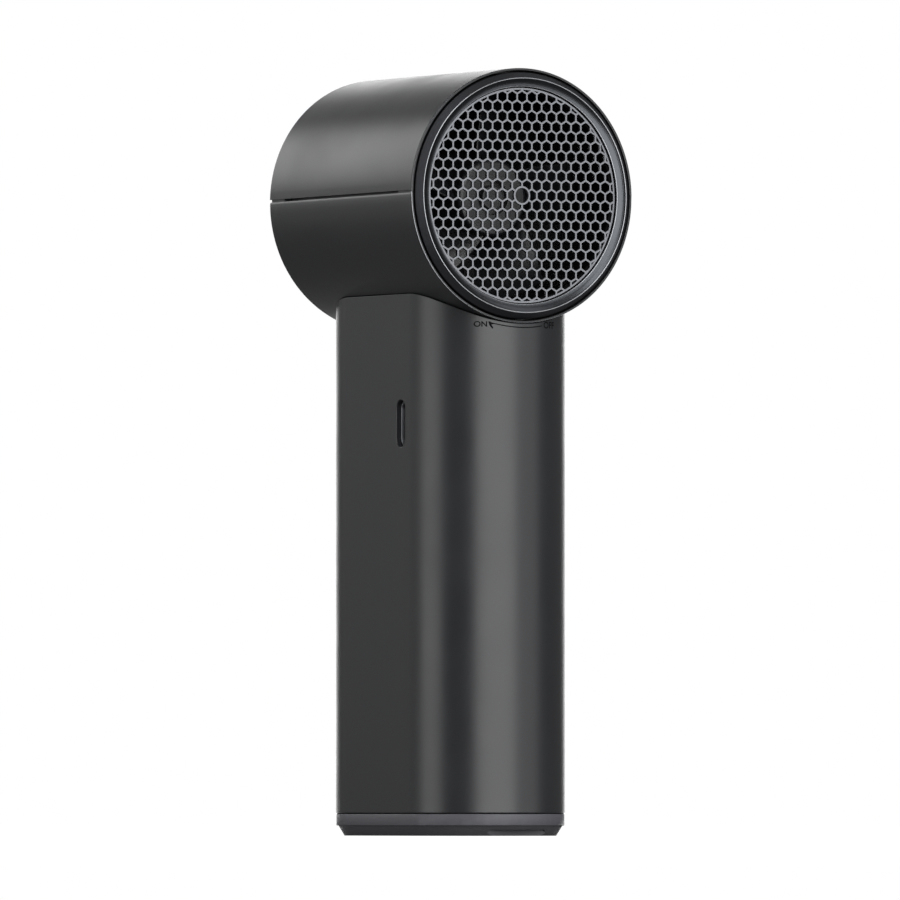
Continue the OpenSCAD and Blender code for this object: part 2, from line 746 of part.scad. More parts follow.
// Power switches, a coil, capacitors and the controller chip
module board_components() color("#1a1a1c") {
  face_y = board_y - board_t;
  x0 = -board_half_w + clip_w;
  z0 = deck_top_z + clip_h + clip_wall;
  for (k = [0:2]) translate([x0 + parts_pitch * k, face_y - chip[1], z0]) cube(chip);
  translate([board_half_w - clip_w - coil_r, face_y, z0 + coil_r]) rotate([90, 0, 0])
    cylinder(r = coil_r, h = coil_h);
  translate([x0, board_y, z0]) cube(controller);
  for (k = [0:1]) translate([k * parts_pitch - capacitor_r, board_y, z0 + chip[2] + controller[2]])
    rotate([-90, 0, 0]) cylinder(r = capacitor_r, h = capacitor_h);
}

module usb_socket_shell() color("#b2b4b7") translate([usb_x - usb_depth, port_y, port_z])
  rotate([90, 0, 90]) difference() {
    linear_extrude(usb_depth) slot_outline(usb_h / 2, usb_w - usb_h);
    translate([0, 0, usb_back_t]) linear_extrude(usb_depth)
      slot_outline(usb_h / 2 - usb_wall, usb_w - usb_h);
  }

module usb_tongue() color("#141416")
  translate([usb_x - usb_depth + usb_back_t, port_y - tongue[1] / 2, port_z - tongue[2] / 2])
    cube(tongue);

// --- Base ---

module base_cap() color("#4b4b50") difference() {
  union() {
    translate([0, 0, foot_h]) linear_extrude(cap_top_z - foot_h) handle_outline(cap_inset);
    handle_tube(handle_in + fit, spigot_wall, foot_h, cap_top_z + spigot_h);
  }
  for (side = [-1, 1]) translate([0, side * rail_y, foot_h - 1]) {
    cylinder(r = screw_r + face_gap, h = seam_z);
    cylinder(r = screw_head_r + face_gap, h = 1 + screw_head_t + face_gap);
  }
}

// Chamfered pad with a pry notch at the back
module foot_pad() color("#2c2b2e") {
  skin = 0.01;
  difference() {
    hull() {
      linear_extrude(skin) handle_outline(foot_inset + foot_chamfer);
      translate([0, 0, foot_h - skin]) linear_extrude(skin) handle_outline(foot_inset);
    }
    translate([0, handle_d / 2 + 1, 0]) rotate([90, 0, 0]) linear_extrude(notch_in + 1) polygon([
      [-notch_w / 2, -1], [notch_w / 2, -1], [notch_w / 2, 0], [notch_top_w / 2, notch_h],
      [-notch_top_w / 2, notch_h], [-notch_w / 2, 0],
    ]);
  }
}

// --- Screws ---

// Down through the floor of the lower shell into the battery frame's posts
module neck_screws() color("#55575a") for (side = [-1, 1])
  translate([0, side * post_y, neck_screw_z]) screw(neck_screw_z - neck_z0 + screw_bite);

// Up through the base cap into the battery frame's rails
module base_screws() color("#55575a") for (side = [-1, 1])
  translate([0, side * rail_y, foot_h + face_gap]) rotate([180, 0, 0])
    screw(tray_z - foot_h - face_gap + screw_bite);

head_shell_upper();
head_shell_lower();
air_duct();
outlet_bezel();
speed_ring();
intake_mesh();
ring_magnet();
retaining_clip();
hall_sensor_board();
impeller();
impeller_cap();
motor_shaft();
rotor_magnet();
motor_bearings();
motor_can();
motor_end_cap();
stator_core();
stator_coils();
motor_leads();
guide_vanes();
tail_cone();
handle_shell();
battery_frame();
battery_cells();
cell_tabs();
main_board();
board_components();
usb_socket_shell();
usb_tongue();
base_cap();
foot_pad();
neck_screws();
base_screws();
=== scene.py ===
"""Dresses a handheld car dryer blower and sets a plain studio round it.

The casing is built from revolved profiles and outline columns, the pieces that repeat come from
Geometry Nodes, and the inner parts keep their own solids with new finishes.
"""

from math import asin, cos, pi, radians, sin, sqrt
from types import SimpleNamespace

import bmesh
import bpy
from bpy.props import FloatProperty, FloatVectorProperty, IntProperty, PointerProperty
from mathutils import Matrix, Vector


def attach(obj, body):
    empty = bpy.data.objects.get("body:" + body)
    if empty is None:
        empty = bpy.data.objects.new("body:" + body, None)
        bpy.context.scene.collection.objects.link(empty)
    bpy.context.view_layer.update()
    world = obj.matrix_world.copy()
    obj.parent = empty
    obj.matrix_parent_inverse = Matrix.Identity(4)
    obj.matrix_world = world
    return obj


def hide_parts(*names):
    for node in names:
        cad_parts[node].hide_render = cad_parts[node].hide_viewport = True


bl_info = {
    "name": "Car dryer blower",
    "version": (1, 0, 0),
    "blender": (4, 5, 0),
    "location": "3D View > Sidebar > Blower",
    "description": "Builds the blower's visible pieces, their finishes and a studio round them",
    "category": "Object",
}

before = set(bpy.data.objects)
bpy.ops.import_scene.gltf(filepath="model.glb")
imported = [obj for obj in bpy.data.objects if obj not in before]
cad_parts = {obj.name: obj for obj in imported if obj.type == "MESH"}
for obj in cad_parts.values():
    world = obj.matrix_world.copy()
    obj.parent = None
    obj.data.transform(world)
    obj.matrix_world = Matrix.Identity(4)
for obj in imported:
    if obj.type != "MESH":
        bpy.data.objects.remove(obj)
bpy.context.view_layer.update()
MM = 0.001
# In millimetres: play round the mesh in its recess, and from the impeller to the guide vanes
MESH_PLAY, VANE_GAP = 0.2, 0.6


# --- Sizes and colours ---

def linear(code):
    """An sRGB hex code as linear red, green and blue."""
    parts = [int(code[i:i + 2], 16) / 255 for i in (1, 3, 5)]
    return [c / 12.92 if c <= 0.04045 else ((c + 0.055) / 1.055) ** 2.4 for c in parts]


def length(label, about, mm):
    return FloatProperty(name=label, description=about, default=mm * MM, min=0, unit="LENGTH",
                         precision=5)


def colour(label, about, code):
    return FloatVectorProperty(name=label, description=about, default=linear(code), size=3,
                               min=0, max=1, subtype="COLOR")


class BlowerSizes(bpy.types.PropertyGroup):
    """Sizes of the blower's visible pieces."""

    axis_z: length("Axis height", "Height of the air path's axis", 125.5)
    head_r: length("Head radius", "Outer radius of the head", 25)
    head_len: length("Head length", "Length of the head shells", 56.4)
    shell_wall: length("Shell wall", "Wall of the head shells", 1.8)
    lip_wall: length("Lip wall", "Wall of the thin lip at each end", 0.4)
    rebate: length("Rebate", "Depth of the rebate behind each lip", 5.6)
    seam_w: length("Seam", "Width of the groove between the head shells", 0.5)
    seam_lift: length("Seam lift", "How far the seam lies above the head's axis", 0.35)
    seam_chamfer: length("Seam chamfer", "Height of the eased edge below the seam", 0.45)
    bore_r: length("Bore", "Radius of the air duct's bore", 21)
    ring_r: length("Ring radius", "Outer radius of the speed ring", 24.2)
    crest_r: length("Crest radius", "Radius of the speed ring's crest", 23)
    ring_proud: length("Ring proud", "How far the ring stands out of the head", 1.4)
    mesh_r: length("Mesh radius", "Radius of the intake mesh", 21.1)
    mesh_sunk: length("Mesh depth", "How far the mesh lies below the head's end", 0)
    mesh_recess: length("Mesh recess", "How far the ring's inner edge stands above the mesh", 0.5)
    mesh_t: length("Mesh thickness", "Thickness of the intake mesh", 0.6)
    mesh_pitch: length("Mesh pitch", "Distance between the mesh's cells", 2.23)
    mesh_rib: length("Mesh rib", "Width of the ribs between the cells", 0.34)
    mesh_rim: length("Mesh rim", "Width of the rim round the mesh and its eye", 0.35)
    mesh_eye: length("Mesh eye", "Radius of the round hole in the middle of the mesh", 1.5)
    fan_depth: length("Fan depth", "Distance from the mesh to the impeller", 11.3)
    fan_len: length("Fan length", "Length of the impeller", 11.5)
    hub_r: length("Hub radius", "Radius of the impeller's hub at the intake", 7.8)
    hub_edge: length("Hub edge", "Round at the edge of the impeller's hub", 1.1)
    vane_len: length("Vane hub length", "Length of the guide vanes' hub", 17.4)
    vane_hub_r: length("Vane hub radius", "Radius of the guide vanes' hub", 10)
    handle_r: length("Handle radius", "Half the handle's width", 16.5)
    handle_s: length("Handle flat", "Length of the handle's flat sides", 24.4)
    handle_wall: length("Handle wall", "Wall of the handle", 1.6)
    handle_z: length("Handle foot", "Height of the handle's lower edge", 4.45)
    base_gap: length("Base groove", "Width of the groove above the base band", 0.15)
    saddle_gap: length("Saddle gap", "Gap between the saddle and the head", 0.15)
    port_y: length("Port place", "Place of the charging socket along the depth", 9.1)
    port_z: length("Port height", "Height of the charging socket's middle", 81)
    edge: length("Edge", "Radius of the casing's broken edges", 0.18)
    blades: IntProperty(name="Blades", description="Impeller blades", default=5, min=3, max=9)
    vanes: IntProperty(name="Vanes", description="Guide vanes with the strut", default=7, min=5,
                       max=11)


class BlowerColours(bpy.types.PropertyGroup):
    """Base colours of the finishes."""

    casing: colour("Casing", "Satin paint of the head and the handle", "#232426")
    ring: colour("Ring", "Anodised speed ring and outlet bezel", "#505155")
    dish: colour("Dish", "Turned dish of the two rings", "#47494c")
    cut: colour("Cut edges", "Edges cut bright", "#949699")
    mesh: colour("Mesh", "Steel of the intake mesh", "#7c7e82")
    fan: colour("Fan", "Glass-filled nylon of the impeller", "#1b1c1e")
    vane: colour("Vanes", "Moulded guide vanes and tail cone", "#131416")
    # The duct's near-black is also painted shade in the bores of the speed ring and the bezel
    duct: colour("Duct", "Moulded air duct and the bores of the rings", "#0b0b0c")
    band: colour("Base band", "Base cap under the handle", "#545459")
    foot: colour("Foot", "Rubber foot pad", "#414044")
    mark: colour("Marks", "Printed ON and OFF marks", "#0c0c0d")


def sizes():
    """The sizes in millimetres."""
    group = bpy.context.scene.blower_sizes
    values = {}
    for key in BlowerSizes.__annotations__:
        value = getattr(group, key)
        values[key] = value if isinstance(value, int) else round(value / MM, 5)
    s = SimpleNamespace(**values)
    s.end_y = s.head_len / 2
    s.rebate_y = s.end_y - s.rebate
    s.shell_in_r = s.head_r - s.shell_wall
    s.lip_in_r = s.head_r - s.lip_wall
    s.mesh_y = s.end_y - s.mesh_sunk
    s.recess_r = s.mesh_r + MESH_PLAY
    s.seam_z = s.axis_z + s.seam_lift
    s.fan_y = s.mesh_y - s.fan_depth
    s.fan_front = s.fan_y - s.fan_len
    s.vane_y = s.fan_front - VANE_GAP
    s.vane_front = s.vane_y - s.vane_len
    return s


def tone(key):
    return tuple(getattr(bpy.context.scene.blower_colours, key))


# --- Meshes ---

def linked(name, data):
    """A new object with its data, in the scene."""
    obj = bpy.data.objects.new(name, data)
    bpy.context.scene.collection.objects.link(obj)
    return obj


def smoothed(obj):
    """Shades all faces of the object smooth."""
    for face in obj.data.polygons:
        face.use_smooth = True
    return obj


def between(a, b, n):
    """The faces between two closed rows of n points, the rows starting at points a and b."""
    return [(a + k, a + (k + 1) % n, b + (k + 1) % n, b + k) for k in range(n)]


def piece(name, points, faces):
    """A mesh from points in millimetres, its doubles merged and its faces turned out."""
    mesh = bpy.data.meshes.new(name)
    mesh.from_pydata([(x * MM, y * MM, z * MM) for x, y, z in points], [], faces)
    bm = bmesh.new()
    bm.from_mesh(mesh)
    bmesh.ops.remove_doubles(bm, verts=bm.verts, dist=1e-7)
    bmesh.ops.dissolve_degenerate(bm, edges=bm.edges, dist=1e-8)
    bmesh.ops.recalc_face_normals(bm, faces=bm.faces)
    for face in bm.faces:
        face.smooth = True
    bm.to_mesh(mesh)
    bm.free()
    return linked(name, mesh)


def baked(obj):
    """The object's mesh with its modifiers in it, and the modifiers gone."""
    bpy.context.view_layer.update()
    evaluated = obj.evaluated_get(bpy.context.evaluated_depsgraph_get())
    mesh = bpy.data.meshes.new_from_object(evaluated)
    obj.modifiers.clear()
    old, obj.data = obj.data, mesh
    mesh.name = obj.name
    bpy.data.meshes.remove(old)
    return obj


def carve(obj, tool):
    """Cuts the tool out of the object and removes the tool."""
    cut = obj.modifiers.new("Cut", "BOOLEAN")
    cut.operation, cut.solver, cut.object = "DIFFERENCE", "EXACT", tool
    baked(obj)
    bpy.data.objects.remove(tool)


def joined(name, parts):
    """One object from several that keep their own closed shells."""
    bm = bmesh.new()
    for part in parts:
        bm.from_mesh(part.data)
        bpy.data.objects.remove(part)
    mesh = bpy.data.meshes.new(name)
    bm.to_mesh(mesh)
    bm.free()
    return linked(name, mesh)


def soften(obj, width, segments=2, angle=32):
    """Breaks the sharp edges with a small round, as moulding and machining leave them."""
    bevel = obj.modifiers.new("Edges", "BEVEL")
    bevel.width = width * MM
    bevel.segments = segments
    bevel.limit_method = "ANGLE"
    bevel.angle_limit = radians(angle)
    bevel.harden_normals = True
    bevel.use_clamp_overlap = True
    return obj


def settled(obj):
    """Sharpens the edges past 35 degrees and evens the shading of the large faces."""
    obj.data.set_sharp_from_angle(angle=radians(35))
    normals = obj.modifiers.new("Normals", "WEIGHTED_NORMAL")
    normals.keep_sharp = True
    return obj


def on_head(r, turn, y, s):
    """A point at a turn about the air path's axis, anticlockwise as seen from behind."""
    return (-r * cos(turn), y, s.axis_z + r * sin(turn))


def lathe(name, profile, s, segments=256):
    """A ring or a cone about the air path's axis, from [radius, y] points."""
    n = len(profile)
    points = [on_head(r, 2 * pi * i / segments, y, s) for i in range(segments) for r, y in profile]
    faces = []
    for i in range(segments):
        faces += between(i * n, (i + 1) % segments * n, n)
    return piece(name, points, faces)


def strip_solid(name, sections):
    """A closed solid from sections with equal numbers of points."""
    n = len(sections[0])
    points = [p for section in sections for p in section]
    faces = [tuple(range(n)), tuple(range(len(points) - 1, len(points) - n - 1, -1))]
    for i in range(len(sections) - 1):
        faces += between(i * n, (i + 1) * n, n)
    return piece(name, points, faces)


def prism(name, outline, depth0, depth1, axis="x"):
    """A straight bar: an outline drawn out along an axis from one depth to the other."""
    place = {"x": lambda u, v, w: (w, u, v), "y": lambda u, v, w: (u, w, v),
             "z": lambda u, v, w: (u, v, w)}[axis]
    return strip_solid(name, [[place(u, v, w) for u, v in outline] for w in (depth0, depth1)])


def slot_points(r, flat, arc=96, straight=8):
    """A slot outline, two round ends a distance apart along y."""
    half = flat / 2
    points = []
    for side in (1, -1):
        base = 0 if side > 0 else pi
        points += [(r * cos(base + pi * i / arc), side * half + r * sin(base + pi * i / arc))
                   for i in range(arc)]
        x = -side * r
        points += [(x, side * half * (1 - 2 * i / straight)) for i in range(straight)]
    return points


def columns(name, outer, inner, low, high):
    """A tube between two outlines, its ends at the heights that low and high give for x."""
    n = len(outer)
    rings = [[(x, y, low(x)) for x, y in outer], [(x, y, high(x)) for x, y in outer],
             [(x, y, high(x)) for x, y in inner], [(x, y, low(x)) for x, y in inner]]
    points = [p for ring in rings for p in ring]
    faces = []
    for level in range(4):
        faces += between(level * n, (level + 1) % 4 * n, n)
    return piece(name, points, faces)


def refined(name, node):
    """A merged copy of a node's solid, with its flat faces in one piece each."""
    bm = bmesh.new()
    bm.from_mesh(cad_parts[node].data)
    bmesh.ops.remove_doubles(bm, verts=bm.verts, dist=2e-6)
    bmesh.ops.dissolve_limit(bm, angle_limit=radians(0.4), verts=bm.verts, edges=bm.edges)
    for face in bm.faces:
        face.smooth = True
    mesh = bpy.data.meshes.new(name)
    bm.to_mesh(mesh)
    bm.free()
    return linked(name, mesh)


def marked(obj, index, test):
    """Gives the faces whose centre and normal pass the test, in millimetres, another finish."""
    for face in obj.data.polygons:
        if test(face.center / MM, face.normal):
            face.material_index = index


def finished(obj, first, body, slot, *nodes, second=()):
    """Gives a piece its finishes and ties it to its body and to the nodes that it stands for."""
    kinds = [face.material_index if second else 0 for face in obj.data.polygons]
    obj.data.materials.clear()
    for each in (first, *second):
        obj.data.materials.append(each)
    obj.data.polygons.foreach_set("material_index", kinds)
    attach(obj, body)
    if nodes:
        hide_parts(*nodes)


# --- Node trees ---

def put(tree, kind, inputs=None, **settings):
    """Adds a node, sets it up, and fills or links its inputs by name or number."""
    node = tree.nodes.new(kind)
    for key, value in settings.items():
        setattr(node, key, value)
    for key, value in (inputs or {}).items():
        socket = node.inputs[key]
        if isinstance(value, bpy.types.NodeSocket):
            tree.links.new(value, socket)
        else:
            socket.default_value = value
    return node


def geometry_tree(name, values):
    """A Geometry Nodes tree with named inputs, and their identifiers."""
    tree = bpy.data.node_groups.new(name, "GeometryNodeTree")
    tree.interface.new_socket(name="Geometry", in_out="INPUT", socket_type="NodeSocketGeometry")
    keys = {}
    for label, kind in values.items():
        socket = tree.interface.new_socket(name=label, in_out="INPUT", socket_type=kind)
        keys[label] = socket.identifier
    tree.interface.new_socket(name="Geometry", in_out="OUTPUT", socket_type="NodeSocketGeometry")
    return tree, keys


def grown(obj, tree, keys, values):
    """Runs a Geometry Nodes tree on the object and keeps its result as a plain mesh."""
    run = obj.modifiers.new(tree.name, "NODES")
    run.node_group = tree
    for label, value in values.items():
        run[keys[label]] = value
    return baked(obj)


def end_tree(tree, geometry, mat):
    """Realises the instances, sets the material and closes the tree."""
    real = put(tree, "GeometryNodeRealizeInstances", {0: geometry})
    dressed = put(tree, "GeometryNodeSetMaterial", {"Geometry": real.outputs[0],
                                                    "Material": mat})
    put(tree, "NodeGroupOutput", {0: dressed.outputs[0]})


# --- Finishes ---

def finish(name, base, rough, grain=0.5, bump=0.0, tint=0.05, patch=14.0, gloss=0.05, **sockets):
    """A surface with fine grain, faint patches of colour and gloss, and the sockets given.

    grain and patch are sizes in millimetres, bump is the grain's depth in millimetres.
    """
    mat = bpy.data.materials.new(name)
    mat.use_nodes = True
    tree = mat.node_tree
    tree.nodes.clear()
    where = put(tree, "ShaderNodeTexCoord").outputs["Object"]
    fine = put(tree, "ShaderNodeTexNoise", {"Vector": where, "Scale": 1 / (grain * MM),
                                            "Detail": 2.0, "Roughness": 0.6})
    broad = put(tree, "ShaderNodeTexNoise", {"Vector": where, "Scale": 1 / (patch * MM),
                                             "Detail": 3.0, "Roughness": 0.5})
    both = put(tree, "ShaderNodeMath", {0: fine.outputs["Fac"], 1: broad.outputs["Fac"]},
               operation="ADD")
    shade = put(tree, "ShaderNodeMapRange", {"Value": both.outputs[0], "From Min": 0.6,
                                             "From Max": 1.4, "To Min": 1 - tint,
                                             "To Max": 1 + tint})
    tinted = put(tree, "ShaderNodeVectorMath", {0: tuple(base), "Scale": shade.outputs[0]},
                 operation="SCALE")
    worn = put(tree, "ShaderNodeMapRange", {"Value": broad.outputs["Fac"], "From Min": 0.3,
                                            "From Max": 0.7, "To Min": rough - gloss,
                                            "To Max": rough + gloss})
    inputs = {"Base Color": tinted.outputs[0], "Roughness": worn.outputs[0]}
    if bump:
        relief = put(tree, "ShaderNodeBump", {"Height": fine.outputs["Fac"], "Strength": 1.0,
                                              "Distance": bump * MM})
        inputs["Normal"] = relief.outputs[0]
    for key, value in sockets.items():
        inputs[key.replace("_", " ")] = value
    surface = put(tree, "ShaderNodeBsdfPrincipled", inputs)
    put(tree, "ShaderNodeOutputMaterial", {"Surface": surface.outputs[0]})
    return mat


def turned(name, base, rough, **sockets):
    """Turned metal: fine rings about the air path's axis, which stretch the highlights."""
    # In millimetres; a real feed is too fine to show, so the rings lie farther apart
    pitch, depth = 0.25, 0.002
    mat = finish(name, base, rough, grain=0.6, tint=0.04, **sockets)
    tree = mat.node_tree
    s = sizes()
    where = next(n for n in tree.nodes if n.type == "TEX_COORD").outputs["Object"]
    centred = put(tree, "ShaderNodeVectorMath", {0: where, 1: (0, 0, -s.axis_z * MM)},
                  operation="ADD")
    flat = put(tree, "ShaderNodeVectorMath", {0: centred.outputs[0], 1: (1, 0, 1)},
               operation="MULTIPLY")
    radius = put(tree, "ShaderNodeVectorMath", {0: flat.outputs[0]}, operation="LENGTH")
    tool = put(tree, "ShaderNodeMath", {0: radius.outputs["Value"], 1: 2 * pi / (pitch * MM)},
               operation="MULTIPLY")
    wave = put(tree, "ShaderNodeMath", {0: tool.outputs[0]}, operation="SINE")
    relief = put(tree, "ShaderNodeBump", {"Height": wave.outputs[0], "Strength": 1.0,
                                          "Distance": depth * MM})
    surface = next(n for n in tree.nodes if n.type == "BSDF_PRINCIPLED")
    tree.links.new(relief.outputs[0], surface.inputs["Normal"])
    return mat


# How each is made, its base colour as a code or as one of the colours above, its roughness,
# and what differs from a plain finish
FINISHES = {
    # Satin two-pack paint on moulded ABS: even, with a soft wide highlight and a fine grain
    "satin_painted_abs": (finish, "casing", 0.34, {
        "grain": 0.45, "bump": 0.004, "tint": 0.03, "gloss": 0.03, "IOR": 1.5}),
    # The same paint on the handle, a trace glossier
    "satin_painted_handle": (finish, "casing", 0.33, {
        "grain": 0.45, "bump": 0.004, "tint": 0.03, "gloss": 0.03, "IOR": 1.5}),
    # Black anodised aluminium, fine-turned: deep grey, it mirrors the studio in soft bands
    "black_anodised_ring": (turned, "ring", 0.42, {"Metallic": 1.0}),
    # The dish of the two rings, turned after anodising: darker, with a sharper mirror
    "turned_bevel": (turned, "dish", 0.3, {"Metallic": 1.0}),
    # Bare aluminium where an edge was cut bright after the finish: thin shining lines
    "bright_cut_edge": (finish, "cut", 0.3, {"grain": 0.4, "Metallic": 1.0}),
    # Etched stainless steel: an even mid grey with a soft shine
    "etched_steel_mesh": (finish, "mesh", 0.36, {"grain": 0.5, "bump": 0.002, "Metallic": 1.0}),
    # Glass-filled nylon: dark, with a faint fibre grain, its edges catch the light
    "glass_filled_nylon": (finish, "fan", 0.3, {"grain": 0.35, "bump": 0.004, "tint": 0.08}),
    # Black moulded ABS inside the casing, dead matt, so it stays dark; the same near-black on the
    # rings' bores is painted shade, darker than the rings' own anodising
    "moulded_black_abs": (finish, "duct", 0.8, {
        "grain": 0.5, "bump": 0.004, "Specular_IOR_Level": 0.05}),
    # The guide vanes in the same ABS, a shade lighter: they show faintly behind the fan
    "moulded_vane_abs": (finish, "vane", 0.8, {
        "grain": 0.5, "bump": 0.004, "Specular_IOR_Level": 0.05}),
    # Painted base cap: a shade lighter and duller than the handle
    "satin_base_band": (finish, "band", 0.46, {
        "grain": 0.45, "bump": 0.004, "tint": 0.03, "Specular_IOR_Level": 0.35}),
    # Moulded silicone rubber: matt, slightly dusty
    "rubber_foot": (finish, "foot", 0.62, {
        "grain": 0.5, "bump": 0.01, "tint": 0.08, "patch": 9}),
    # Screen-printed ink: flat black without a shine
    "printed_ink": (finish, "mark", 0.8, {
        "grain": 0.3, "tint": 0.05, "Specular_IOR_Level": 0.05}),
    # Nickel-plated steel of the shaft, bearings, snap ring and cell strips: bright and smooth
    "nickel_steel": (finish, "#b4b6b9", 0.28, {"grain": 0.4, "Metallic": 1.0}),
    # Blackened steel screws: dark, with a metal's shine
    "black_steel": (finish, "#55575a", 0.35, {"grain": 0.4, "Metallic": 1.0}),
    # Stamped steel of the charging socket, dulled: only its lip catches the light
    "socket_steel": (finish, "#8a8c90", 0.4, {"grain": 0.4, "Metallic": 1.0}),
    # Sintered magnet with a nickel skin: an even grey metal
    "magnet_nickel": (finish, "#8d9095", 0.32, {"grain": 0.4, "Metallic": 1.0}),
    # Enamelled copper wire: warm and glossy
    "enamelled_copper": (finish, "#b4662c", 0.35, {
        "grain": 0.35, "bump": 0.01, "Metallic": 1.0}),
    # Pressed motor can and core with a bare zinc plate: dull silver
    "zinc_plate": (finish, "#9a9da1", 0.38, {"grain": 0.5, "Metallic": 1.0}),
    # Glass-epoxy board under green solder resist: dark green, uneven like woven glass
    "green_board": (finish, "#1d5a43", 0.35, {"grain": 0.4, "tint": 0.1}),
    # Moulded epoxy of chips, capacitors and the socket's tongue: an even near-black
    "black_epoxy": (finish, "#1a1a1c", 0.5, {"grain": 0.4}),
    # Silicone insulation of the leads: a soft red
    "red_silicone": (finish, "#b33a30", 0.5, {"grain": 0.4}),
    # Shrink sleeve of the cells: smooth blue film
    "cell_sleeve": (finish, "#3f6fa0", 0.38, {"grain": 0.5}),
}
made = {}


def material(name):
    """The finish of that name, made at its first use."""
    if name not in made:
        make, base, rough, settings = FINISHES[name]
        base = linear(base) if base.startswith("#") else tone(base)
        made[name] = make(name, base, rough, **settings)
    return made[name]


# --- Stage ---

class BLOWER_OT_stage(bpy.types.Operator):
    """Camera, softboxes, floor and a white surround"""

    bl_idname = "blower.stage"
    bl_label = "Stage"

    # The floor's radius and its depth below the foot in millimetres, and its grey
    floor_r, floor_drop, paper = 1500, 0.01, 0.24
    # How far a camera ray sees the floor's own glow in place of the light and shadow on it
    glow_share, glow_strength = 0.85, 1.2
    # What all but camera rays get from the surround
    surround_light = 0.16
    # Name, azimuth from +Y towards +X, elevation, then distance, width and height in metres,
    # and radiance
    softboxes = (("front_strip", 159.7, 21.5, 0.8, 0.26, 0.34, 2.95),
                 ("front_panel", 139, 8, 1.0, 0.85, 0.52, 0.27),
                 ("side_box", 102, 0, 0.9, 0.52, 1.1, 2.15),
                 ("rear_box", 9, 0, 0.9, 0.95, 1.2, 3.6),
                 ("rear_wing", -38, 0, 0.9, 0.5, 1.1, 1.3),
                 ("fan_box", 22, 47, 0.9, 0.4, 0.4, 4.0),
                 ("top_box", -60, 52, 0.9, 0.45, 0.45, 1.2),
                 ("back_panel", -150, 4, 1.0, 0.9, 0.8, 2.4))

    def execute(self, context):
        scene = context.scene
        scene.view_settings.view_transform = "Standard"
        self.camera(scene)
        self.floor()
        self.surround(scene)
        for box in self.softboxes:
            self.softbox(*box)
        return {"FINISHED"}

    def camera(self, scene):
        data = bpy.data.cameras.new("camera")
        data.sensor_width = 36
        data.lens = 581.88
        camera = linked("camera", data)
        camera.location = (1.44008, 2.48711, 0.00530)
        camera.rotation_euler = (radians(91.41296), 0, radians(149.92845))
        scene.camera = camera

    def floor(self):
        n, r = 64, self.floor_r
        rim = [(r * cos(2 * pi * i / n), r * sin(2 * pi * i / n), -self.floor_drop)
               for i in range(n)]
        floor = piece("floor", rim, [tuple(range(n))])
        mat = bpy.data.materials.new("white_paper_floor")
        mat.use_nodes = True
        tree = mat.node_tree
        tree.nodes.clear()
        rays = put(tree, "ShaderNodeLightPath")
        share = put(tree, "ShaderNodeMath", {0: rays.outputs["Is Camera Ray"],
                                             1: self.glow_share}, operation="MULTIPLY")
        paper = put(tree, "ShaderNodeBsdfDiffuse", {"Color": (*[self.paper] * 3, 1)})
        glow = put(tree, "ShaderNodeEmission", {"Color": (1, 1, 1, 1),
                                                "Strength": self.glow_strength})
        mix = put(tree, "ShaderNodeMixShader", {0: share.outputs[0], 1: paper.outputs[0],
                                                2: glow.outputs[0]})
        put(tree, "ShaderNodeOutputMaterial", {"Surface": mix.outputs[0]})
        floor.data.materials.append(mat)
        floor.visible_glossy = False

    def surround(self, scene):
        world = bpy.data.worlds.new("surround")
        world.use_nodes = True
        tree = world.node_tree
        tree.nodes.clear()
        rays = put(tree, "ShaderNodeLightPath")
        dim = put(tree, "ShaderNodeBackground", {"Color": (1, 1, 1, 1),
                                                 "Strength": self.surround_light})
        white = put(tree, "ShaderNodeBackground", {"Color": (1, 1, 1, 1), "Strength": 1.0})
        mix = put(tree, "ShaderNodeMixShader", {0: rays.outputs["Is Camera Ray"],
                                                1: dim.outputs[0], 2: white.outputs[0]})
        put(tree, "ShaderNodeOutputWorld", {"Surface": mix.outputs[0]})
        scene.world = world

    def softbox(self, name, azimuth, elevation, distance, width, height, radiance):
        """A rectangular lamp in metres, turned to the dryer's middle."""
        aim = Vector((0, 0, 0.1))
        a, e = radians(azimuth), radians(elevation)
        out = Vector((sin(a) * cos(e), cos(a) * cos(e), sin(e)))
        data = bpy.data.lights.new(name, "AREA")
        data.shape = "RECTANGLE"
        data.size, data.size_y = width, height
        data.energy = pi * width * height * radiance
        light = linked(name, data)
        light.location = aim + distance * out
        light.rotation_euler = out.to_track_quat("Z", "Y").to_euler()
        light.visible_camera = False


# --- Head ---

